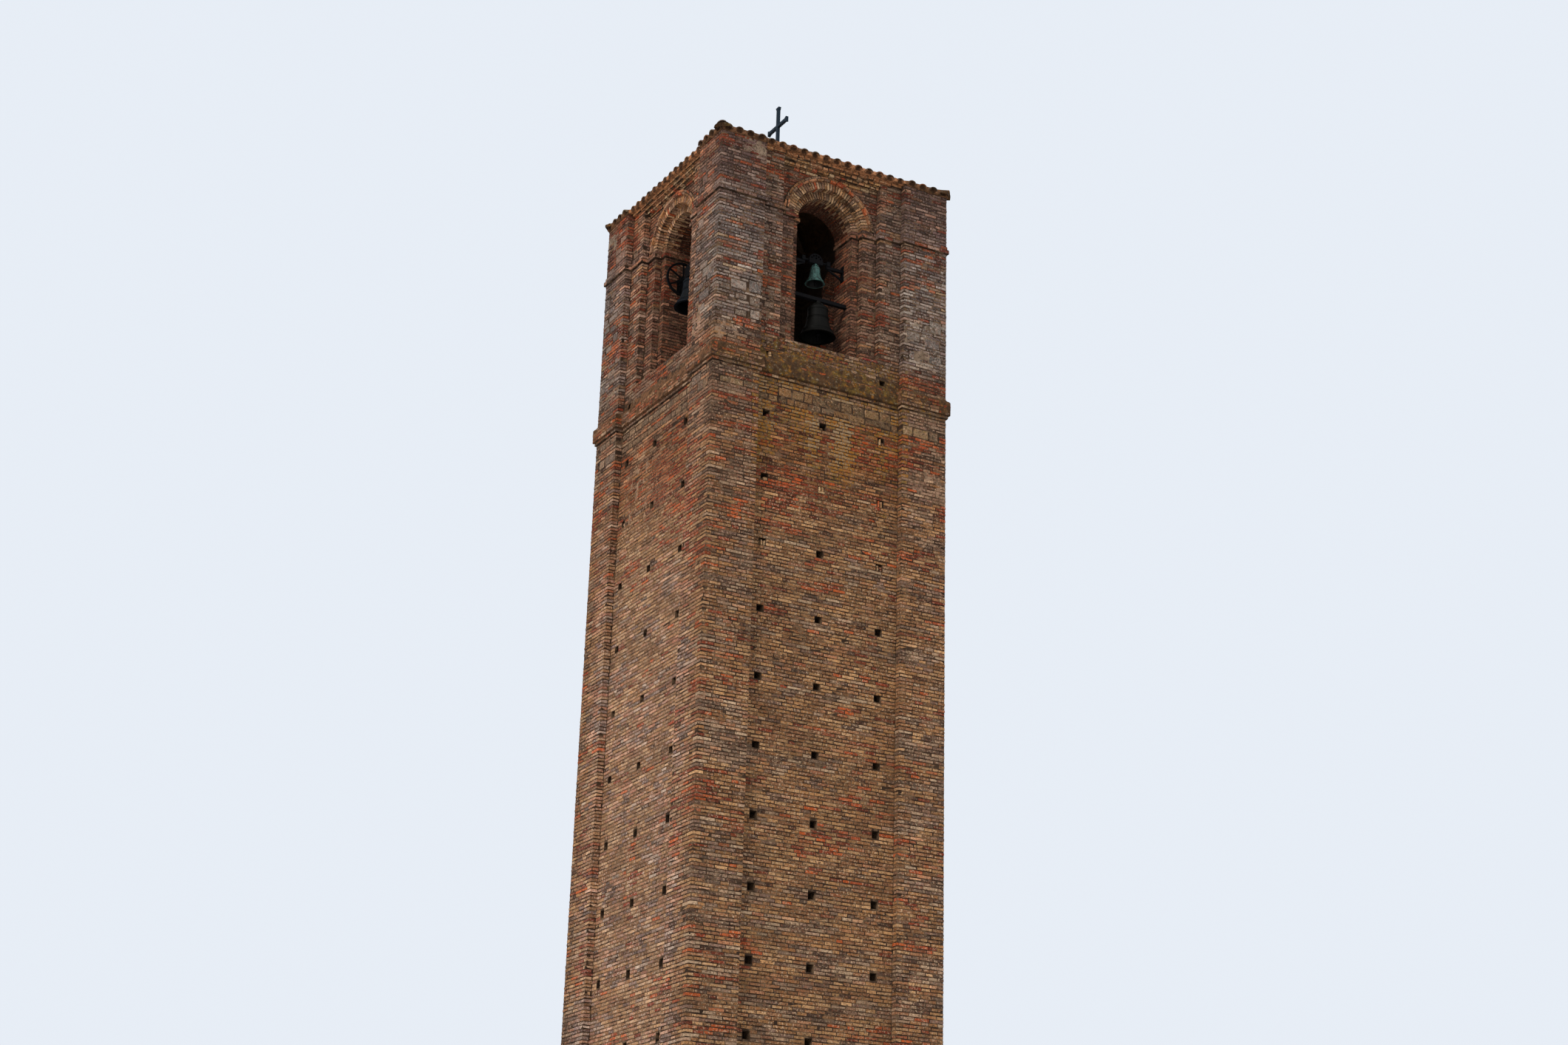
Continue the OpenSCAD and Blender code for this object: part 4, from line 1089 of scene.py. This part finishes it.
# Mortar and render coats, swept along a plan
def sweep_coat(name, points, closed, profile, lichen, rough, swell=0.16, holes=(), face=FRONT):
    """A worn coat: profile lists (out, height) upwards. Where it sinks below the bricks' faces, they show."""
    lines = [wall_plan(points, closed, out) for out, z in profile]
    shares = [np.linspace(0, 1, max(1, round(s.length / 0.04)) + 1) for s in lines[0]]
    grid, out = [], []
    for (_, z), line in zip(profile, lines):
        for k, (stretch, share) in enumerate(zip(line, shares)):
            for t in share if not closed and k == len(line) - 1 else share[:-1]:
                grid.append((*(stretch.start + stretch.along * stretch.length * t), z))
                out.append((*stretch.out, 0.0))
    grid, out = np.array(grid), np.array(out)
    worn = 0.65 * smooth_noise(grid, swell) + 0.35 * smooth_noise(grid + 9.0, swell / 3) - 0.5
    grid = grid + out * (2 * rough * worn[:, None])
    quads = grid_faces(len(profile), len(grid) // len(profile), closed)
    if holes:
        middle = grid[quads].mean(axis=1)
        x, z = middle[:, :2] @ face_axes(face)[0], middle[:, 2]
        hidden = [(x > x0) & (x < x1) & (z > z0) & (z < z1) for x0, x1, z0, z1 in holes]
        quads = quads[~np.any(hidden, axis=0)]
    side = np.abs(out[:, 0])
    made = make_mesh(name, grid, quads, RENDER, {"lichen": lichen - 0.10 * side, "pink": 0.1 + 0.7 * side}, smooth=True)
    return ride(made)


def heights(low, high, out_low, out_high, step=0.035):
    count = max(1, round((high - low) / step))
    return [(out_low + (out_high - out_low) * k / count, low + (high - low) * k / count) for k in range(count + 1)]


def add_coats():
    skim = PROUD - 0.001
    fascia_low, fascia_high = BAND_BOTTOM + BAND_FOOT, BAND_TOP - BAND_SLOPE
    profile = ([(BAND_OUT / 2 - 0.01, fascia_low - 0.004), (BAND_OUT + skim - 0.004, fascia_low - 0.003)]
               + heights(fascia_low + 0.02, fascia_high, BAND_OUT + skim - 0.003, BAND_OUT + skim - 0.002)
               + [(BAND_OUT / 2 + 0.012, fascia_high + 0.028), (0.012, BAND_TOP + 0.004), (-0.01, BAND_TOP + 0.05)])
    sweep_coat("band_coat", round_points(SHAFT_STEPS), True, profile, lichen=0.44, rough=0.015, swell=0.11)
    low = BAND_TOP + 0.15
    for face, name in enumerate(FACE_NAMES):
        line = [(face, -RECESS, STEP), (face, RECESS, STEP)]
        thin, lichen = (0.0, 0.48) if face % 2 == 0 else (0.012, 0.38)
        profile = ([(BAND_OUT / 2 - 0.01, fascia_low + 0.004), (BAND_OUT + 0.012, fascia_low + 0.006)]
                   + heights(fascia_low + 0.03, BAND_TOP - 0.09, BAND_OUT + 0.016 - thin, BAND_OUT + 0.010 - thin)
                   + heights(BAND_TOP - 0.06, BAND_TOP, BAND_OUT, BAND_OUT / 3 + 0.02)
                   + heights(BAND_TOP + 0.03, low, BAND_OUT / 3 + 0.014 - thin, 0.010 - thin / 2)
                   + heights(low + 0.03, SILL - 0.02, 0.001 - thin / 3, -0.001 - thin / 3) + [(-0.01, SILL + 0.004)])
        sweep_coat("%s_sill_coat" % name, line, False, profile, lichen=lichen, rough=0.015, swell=0.11,
                   holes=HOLES, face=face)
    top = IMPOST + IMPOST_COURSE
    profile = [(IMPOST_OUT + 0.003, top - 0.004), (IMPOST_OUT - 0.004, top + 0.010),
               (IMPOST_OUT / 3 + 0.010, top + 0.022), (IMPOST_OUT / 3 - 0.004, top + 0.034)]
    for corner, name in enumerate(("front_right", "rear_right", "rear_left", "front_left")):
        sweep_coat("%s_impost_coat" % name, corner_points(corner), False, profile, lichen=0.30, rough=0.004)


def add_plaster():
    """Ragged patches of old plaster over the bricks."""
    step, past = 0.025, 0.06
    for n, (face, x0, x1, top, foot, y, hides, pink) in enumerate(PLASTER):
        z0, z1 = IMPOST - foot, IMPOST - top
        xs, zs = np.arange(x0 - past, x1 + past, step), np.arange(z0 - past, z1 + past, step)
        low, high = RECESS + 0.01, half_width(face) - 0.01
        if y:
            low, high = 0.01 - RECESS, RECESS - 0.01
        elif x0 < 0:
            low, high = -high, -low
        xs = np.clip(xs, low, high)
        grid = np.array([point for z in zs for point in on_face(face, y, [(x, z) for x in xs])])
        flat_x, flat_z = np.tile(xs, len(zs)), grid[:, 2]
        inside = np.min([flat_x - x0, x1 - flat_x, flat_z - z0, z1 - flat_z], axis=0)
        rough = 0.6 * smooth_noise(grid, 0.13) + 0.4 * smooth_noise(grid + 5.0, 0.05) - 0.5
        cover = np.clip(inside / 0.10, -1, 0.3) + hides - 0.3 + 4.5 * rough
        grid = grid + outward(face) * (PROUD - 0.007 + 0.009 * np.clip(cover, -1.2, 1.0))[:, None]
        quads = grid_faces(len(zs), len(xs))
        quads = quads[cover[quads].max(axis=1) > -0.9]
        made = make_mesh("plaster_%d" % (n + 1), grid, quads, PLASTERS, {"lichen": 0.2, "pink": pink}, smooth=True)
        ride(made)


# The roof: under and over tiles, hip tiles and the mortar that beds them
TILE_PITCH = 0.335
TILE_COLUMNS = 21
HIP_TILE_PITCH = 0.345
HIP_TILE_LENGTH = 0.44
TILE_WIDE = 0.094
TILE_HIGH = 0.078
TILE_THICK = 0.015
TILE_COLOURS = [(118, 84, 60), (104, 80, 62), (128, 96, 66), (96, 72, 56), (112, 92, 72), (132, 88, 62),
                (88, 72, 60), (120, 102, 80)]


def on_pilaster(x):
    """1 over the pilasters, 0 between them, and a short blend."""
    return min(1.0, max(0.0, (abs(x) - RECESS + 0.05) / 0.10))


def tile_end(face, x):
    """How deep behind the pilasters' face the over tiles end: furthest out over the pilasters."""
    between = 0.018 if face == LEFT else -0.010
    return between + (-0.052 - between) * on_pilaster(x)


def sag(face, x):
    """How far the old tiles have sunk into their bed at the eaves."""
    between = 0.054 if face == LEFT else 0.046
    return between + (0.034 - between) * on_pilaster(x)


class Tiles:
    """Gathers half-round tiles, each between two ends of an axis, with its own frame."""

    def __init__(self, name):
        self.name, self.points, self.faces, self.tints, self.count = name, [], [], [], 0

    def add(self, start, end, side, up, wide, high, rise, arc=math.radians(84), thick=TILE_THICK, sides=9, clamp=None):
        """wide, high and rise are pairs, at the start and at the end; a negative high makes a trough."""
        shell = []
        for t in range(4):
            share = t / 3
            foot = start + (end - start) * share
            w, h, r = (a + (b - a) * share for a, b in (wide, high, rise))
            for shrink in (0.0, thick):
                for k in range(sides + 1):
                    angle = -arc + 2 * arc * k / sides
                    across = (w - shrink) * math.sin(angle)
                    lift = (abs(h) - shrink) * math.cos(angle) * (1 if h > 0 else -1)
                    shell.append(foot + side * across + up * (r + lift))
        if clamp:
            shell = [clamp(p) for p in shell]
            if max((p - shell[0]).length for p in shell) < 0.12:
                return
        ring = 2 * (sides + 1)
        base = len(self.points)
        faces = []
        for t in range(3):
            for k in range(sides):
                for layer in (0, 1):
                    a = t * ring + layer * (sides + 1) + k
                    quad = (a, a + 1, a + ring + 1, a + ring)
                    faces.append(quad if layer else quad[::-1])
            for k in (0, sides):
                a = t * ring + k
                quad = (a, a + sides + 1, a + ring + sides + 1, a + ring)
                faces.append(quad if not k else quad[::-1])
        for t in (0, 3):
            for k in range(sides):
                a = t * ring + k
                quad = (a, a + 1, a + sides + 2, a + sides + 1)
                faces.append(quad if t == 0 else quad[::-1])
        self.points += [tuple(p) for p in shell]
        self.faces += [tuple(base + v for v in quad) for quad in faces]
        tint = srgb(*chance.choice(TILE_COLOURS))
        shade = chance.uniform(0.85, 1.12)
        self.tints += [[c * shade for c in tint]] * len(shell)

    def build(self):
        made = make_mesh(self.name, self.points, self.faces, TILE, {"tint": np.array(self.tints)})
        return ride(made)


def add_roof():
    for face in range(4):
        half, out = half_width(face) + ROOF_OVER, face_out(face)
        eave = WALL_TOP + ROOF_EDGE
        side = Vector((*face_axes(face)[0], 0))
        start = Vector((*to_plan(face, 0, -ROOF_OVER), eave))
        inward = Vector((*to_plan(face, 0, out), APEX)) - start
        length = inward.length
        inward.normalize()
        up = side.cross(inward)
        across = (out + ROOF_OVER) / length

        def clamp(p):
            x, u = (p - start).dot(side), (p - start).dot(inward)
            most = length * (1 - abs(x) / half) + 0.015
            return p if u <= most else p - inward * (u - max(most, -0.05))

        tiles = Tiles("%s_roof_tiles" % FACE_NAMES[face])
        pitch = 2 * half / TILE_COLUMNS
        for c in range(TILE_COLUMNS):
            x = (c + 0.5) * pitch - half + chance.uniform(-0.008, 0.008)
            for over in (False, True):
                at = x if over else x + pitch / 2
                if not over and c == TILE_COLUMNS - 1:
                    continue
                reach = length * (1 - max(0.0, abs(at) - 0.09) / half)
                row = 0
                while row * TILE_PITCH - 0.06 < reach - 0.02:
                    low = row * TILE_PITCH - 0.03 + chance.uniform(-0.014, 0.014)
                    if row == 0:
                        end = tile_end(face, at) + (0.0 if over else 0.036) + chance.uniform(-0.010, 0.010)
                        low = (end + ROOF_OVER) / across
                    turn = chance.uniform(-0.008, 0.008)
                    foot = start + side * at + inward * low
                    head = start + side * (at + turn) + inward * (row * TILE_PITCH + 0.40)
                    sink = sag(face, at) * max(0.0, 1 - row / 3)
                    if over:
                        tiles.add(foot, head, side, up, (TILE_WIDE, TILE_WIDE * 0.84), (TILE_HIGH, TILE_HIGH * 0.84),
                                  (0.030 - sink + chance.uniform(0, 0.006), 0.012 - sink * 0.7), clamp=clamp)
                    else:
                        r0, r1 = 0.092 - sink, 0.078 - 0.7 * sink
                        tiles.add(foot, head, side, up, (TILE_WIDE * 0.84, TILE_WIDE),
                                  (-min(0.058, r0 - 0.004), -min(0.066, r1 - 0.004)), (r0, r1), clamp=clamp)
                    row += 1
        tiles.build()
        add_eaves_mortar(face, pitch, half, eave)
    add_hips()


def add_eaves_mortar(face, pitch, half, eave):
    """The mortar under the tiles' ends and between them, with a hollow under each over tile, darkened with painted
    shade.
    """
    count = TILE_COLUMNS * 16
    grid, olds, hollows, pinks = [], [], [], []
    slope = (APEX - eave) / (face_out(face) + ROOF_OVER)
    shares = (0.0, 0.0, 0.0, 0.0, 0.12, 0.25, 0.38, 0.52, 0.66, 0.80, 0.93, 1.0, 1.0)
    for r, share in enumerate(shares):
        for c in range(count + 1):
            x = -half + 2 * half * c / count
            off = (0.5 - ((x + half) / pitch) % 1.0) * pitch
            p, end = on_pilaster(x), tile_end(face, x)
            back = (EAVES_IN - 0.004) * (1 - p) + (-ROOF_OVER - 0.004) * p
            base = eave + slope * (end + ROOF_OVER) + 0.95 * (0.030 - sag(face, x))
            foot = WALL_TOP + 0.020 * (1 - p) + 0.012 * p
            if r < 3:
                inner, low = 0.094 * (1 - p) - 0.008 * p, WALL_TOP + 0.008 * (1 - p) - 0.012 * p
                y = inner + (end + 0.012 - inner) * r / 3
                z = low + (foot - low) * r / 3
            else:
                y, z = end + 0.010 - 0.004 * min(1.0, share * 3), foot + (base + 0.056 - foot) * share
            deep = max(0.0, 1 - (off / 0.066) ** 2 - ((z - base - 0.004) / 0.058) ** 2) ** 0.5 if r > 2 else 0.0
            y += (back - y) * min(1.0, 1.6 * deep)
            if r == len(shares) - 1:
                y += 0.05
            grid.append((*to_plan(face, x, y), z))
            # How much painted shade darkens the hollow here.
            hollows.append(min(1.0, 1.4 * deep))
            # Painted light, partly: between the pilasters the mortar under the eaves is brighter and pinker, partly its
            # own pink-tan and partly light painted into the overhang's shade.
            pinks.append(1.6 if p < 0.5 else 0.9)
            olds.append(0.20 if r < 3 else 0.32)
    grid = np.array(grid)
    grid = grid + outward(face) * (0.016 * (smooth_noise(grid, 0.07) - 0.5))[:, None]
    made = make_mesh("%s_eaves_mortar" % FACE_NAMES[face], grid, grid_faces(len(shares), count + 1), RENDER,
                     {"lichen": olds, "hollow": hollows, "pink": pinks}, smooth=True)
    ride(made)


def hip_lines():
    """Each hip from the eaves to the peak: its ends, and the directions along it, across it and off the roof."""
    for sx, sy in ((-1, -1), (1, -1), (1, 1), (-1, 1)):
        low = Vector((sx * (HALF_X + ROOF_OVER), sy * (HALF_Y + ROOF_OVER), WALL_TOP + ROOF_EDGE))
        high = Vector((0, 0, APEX))
        along = (high - low).normalized()
        side = along.cross(Vector((0, 0, 1))).normalized()
        yield low, high, along, side, side.cross(along)


def add_hips():
    tiles = Tiles("hip_tiles")
    for low, high, along, side, up in hip_lines():
        length = (high - low).length
        row, at = 0, -0.012
        while at < length - 0.20:
            foot = low + along * at
            head = low + along * min(at + HIP_TILE_LENGTH, length - 0.02)
            sink = (0.034, 0.012, 0.0)[min(row, 2)]
            tiles.add(foot, head, side, up, (0.112, 0.096), (0.100, 0.088),
                      (0.040 - sink + chance.uniform(0, 0.006), 0.020 - sink * 0.8), arc=math.radians(98), thick=0.017,
                      sides=12)
            at += HIP_TILE_PITCH
            row += 1
    made = tiles.build()
    block = add_apex_mortar()
    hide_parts("hip_caps")
    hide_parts("hip_caps")
    add_hip_mortar()


def add_apex_mortar():
    """The rough round block of mortar under the cross, from an outline of (radius, height)."""
    outline = [(0.0, 0.112), (0.10, 0.112), (0.132, 0.108), (0.150, 0.085), (0.158, 0.03), (0.185, -0.03),
               (0.20, -0.09)]
    sides = 36
    angles = [2 * math.pi * k / sides for k in range(sides)]
    points = np.array([(r * math.cos(a), r * math.sin(a), APEX + h) for r, h in outline for a in angles])
    shift = 0.010 * (smooth_noise(points, 0.07) - 0.5)[:, None]
    points[:, :2] += shift * points[:, :2] / np.maximum(1e-6, np.linalg.norm(points[:, :2], axis=1, keepdims=True))
    faces = grid_faces(len(outline), sides, True)[:, [1, 0, 3, 2]]
    return ride(make_mesh("apex_mortar", points, faces, RENDER, {"lichen": 0.4}, smooth=True))


def add_hip_mortar():
    """Mortar that beds the hip tiles on the slopes."""
    outline = [(-0.16, -0.03), (-0.14, 0.03), (-0.105, 0.060), (0.0, 0.08), (0.105, 0.060), (0.14, 0.03),
               (0.16, -0.03)]
    count = 60
    points, faces = [], []
    for low, high, along, side, up in hip_lines():
        base = len(points)
        for j in range(count + 1):
            foot = low + (high - low) * (j / count) - along * 0.02
            points += [tuple(foot + side * a + up * (b if j else b * 0.9)) for a, b in outline]
        faces += list(base + grid_faces(count + 1, len(outline)))
        faces += [(base, base + 1, base + 2, base + 3), (base, base + 3, base + 5, base + 6)]
    points = np.array(points)
    points[:, 2] += 0.018 * (smooth_noise(points, 0.08) - 0.5)
    ride(make_mesh("hip_mortar", points, faces, RENDER, {"lichen": 0.45}, smooth=True))


# Finishes of the construction that stays in view
FINISHES = {"hip_caps": RENDER, "chamber_floor": TIMBER, "roof_frame": TIMBER, "upper_bell": PATINA,
            "side_bell": BLUE_BRONZE, "lower_bell": DARK_BRONZE, "cross": IRON}


def paint_nodes():
    for name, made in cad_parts.items():
        other = RENDER if name.endswith("_roof_slope") else RUSTY_IRON if "bell" in name else JOINTS
        finish = FINISHES.get(name, other)
        if not made.material_slots:
            made.data.materials.append(finish)
        for slot in made.material_slots:
            slot.material = finish


# The camera, as solved from the edges of both faces
def add_camera():
    yaw, pitch, roll = (math.radians(a) for a in (28.994, 21.205, 1.687))
    ahead = Vector((math.sin(yaw) * math.cos(pitch), math.cos(yaw) * math.cos(pitch), math.sin(pitch)))
    level = Vector((math.cos(yaw), -math.sin(yaw), 0))
    tall = level.cross(ahead)
    right = level * math.cos(roll) + tall * math.sin(roll)
    up = tall * math.cos(roll) - level * math.sin(roll)
    data = bpy.data.cameras.new("photo_camera")
    data.lens, data.sensor_width, data.sensor_fit = 56.67, 36.0, "HORIZONTAL"
    data.clip_end = 500
    made = bpy.data.objects.new("photo_camera", data)
    bpy.context.scene.collection.objects.link(made)
    turn = Matrix((right, up, -ahead)).transposed()
    made.matrix_world = Matrix.Translation((-20.920, -38.490, 1.597)) @ turn.to_4x4()
    bpy.context.scene.camera = made


def add_studio():
    floor = Paint("floor_finish", roughness=0.8)
    floor.colour = floor.mix(floor.span(floor.noise(6.0, 3), 0.3, 0.7), (0.62, 0.62, 0.61), (0.66, 0.66, 0.65))
    made = make_mesh("floor", [(-90, -90, 0), (90, -90, 0), (90, 90, 0), (-90, 90, 0)], [(0, 1, 2, 3)],
                     floor.finish())
    world = bpy.data.worlds.new("studio")
    bpy.context.scene.world = world
    world.use_nodes = True
    tree = world.node_tree
    tree.nodes.clear()
    rays = add_node(tree, "ShaderNodeLightPath")
    lit = add_node(tree, "ShaderNodeBackground", {"Color": (1.0, 1.0, 1.0, 1), "Strength": 0.60})
    seen = add_node(tree, "ShaderNodeBackground", {"Color": (0.80, 0.85, 0.92, 1), "Strength": 1.0})
    pick = add_node(tree, "ShaderNodeMixShader", {0: rays.outputs["Is Camera Ray"], 1: lit.outputs[0],
                                                  2: seen.outputs[0]})
    add_node(tree, "ShaderNodeOutputWorld", {"Surface": pick.outputs[0]})
    for name, toward, strength, angle, colour in (
            ("key_light", (0.86, 0.42, -0.62), 1.85, 20, (1.0, 0.95, 0.88)),
            ("front_light", (0.05, 0.90, -0.42), 0.52, 40, (0.96, 0.98, 1.0)),
            ("back_light", (-0.5, -0.8, -0.6), 0.6, 40, (1.0, 1.0, 1.0))):
        data = bpy.data.lights.new(name, "SUN")
        data.energy, data.angle, data.color = strength, math.radians(angle), colour
        light = bpy.data.objects.new(name, data)
        light.rotation_euler = Vector(toward).to_track_quat("-Z", "Y").to_euler()
        bpy.context.scene.collection.objects.link(light)
    bpy.context.scene.view_settings.view_transform = "Standard"


add_camera()
paint_nodes()
tops = face_pieces("arch_bricks")
for piece in lay_shaft() + lay_band_and_parapet() + lay_belfry():
    piece.build()
lay_arch_walls(tops)
lay_arches(tops)
lay_cornice(tops)
for piece in tops:
    piece.build()
add_coats()
add_plaster()
add_roof()
add_studio()
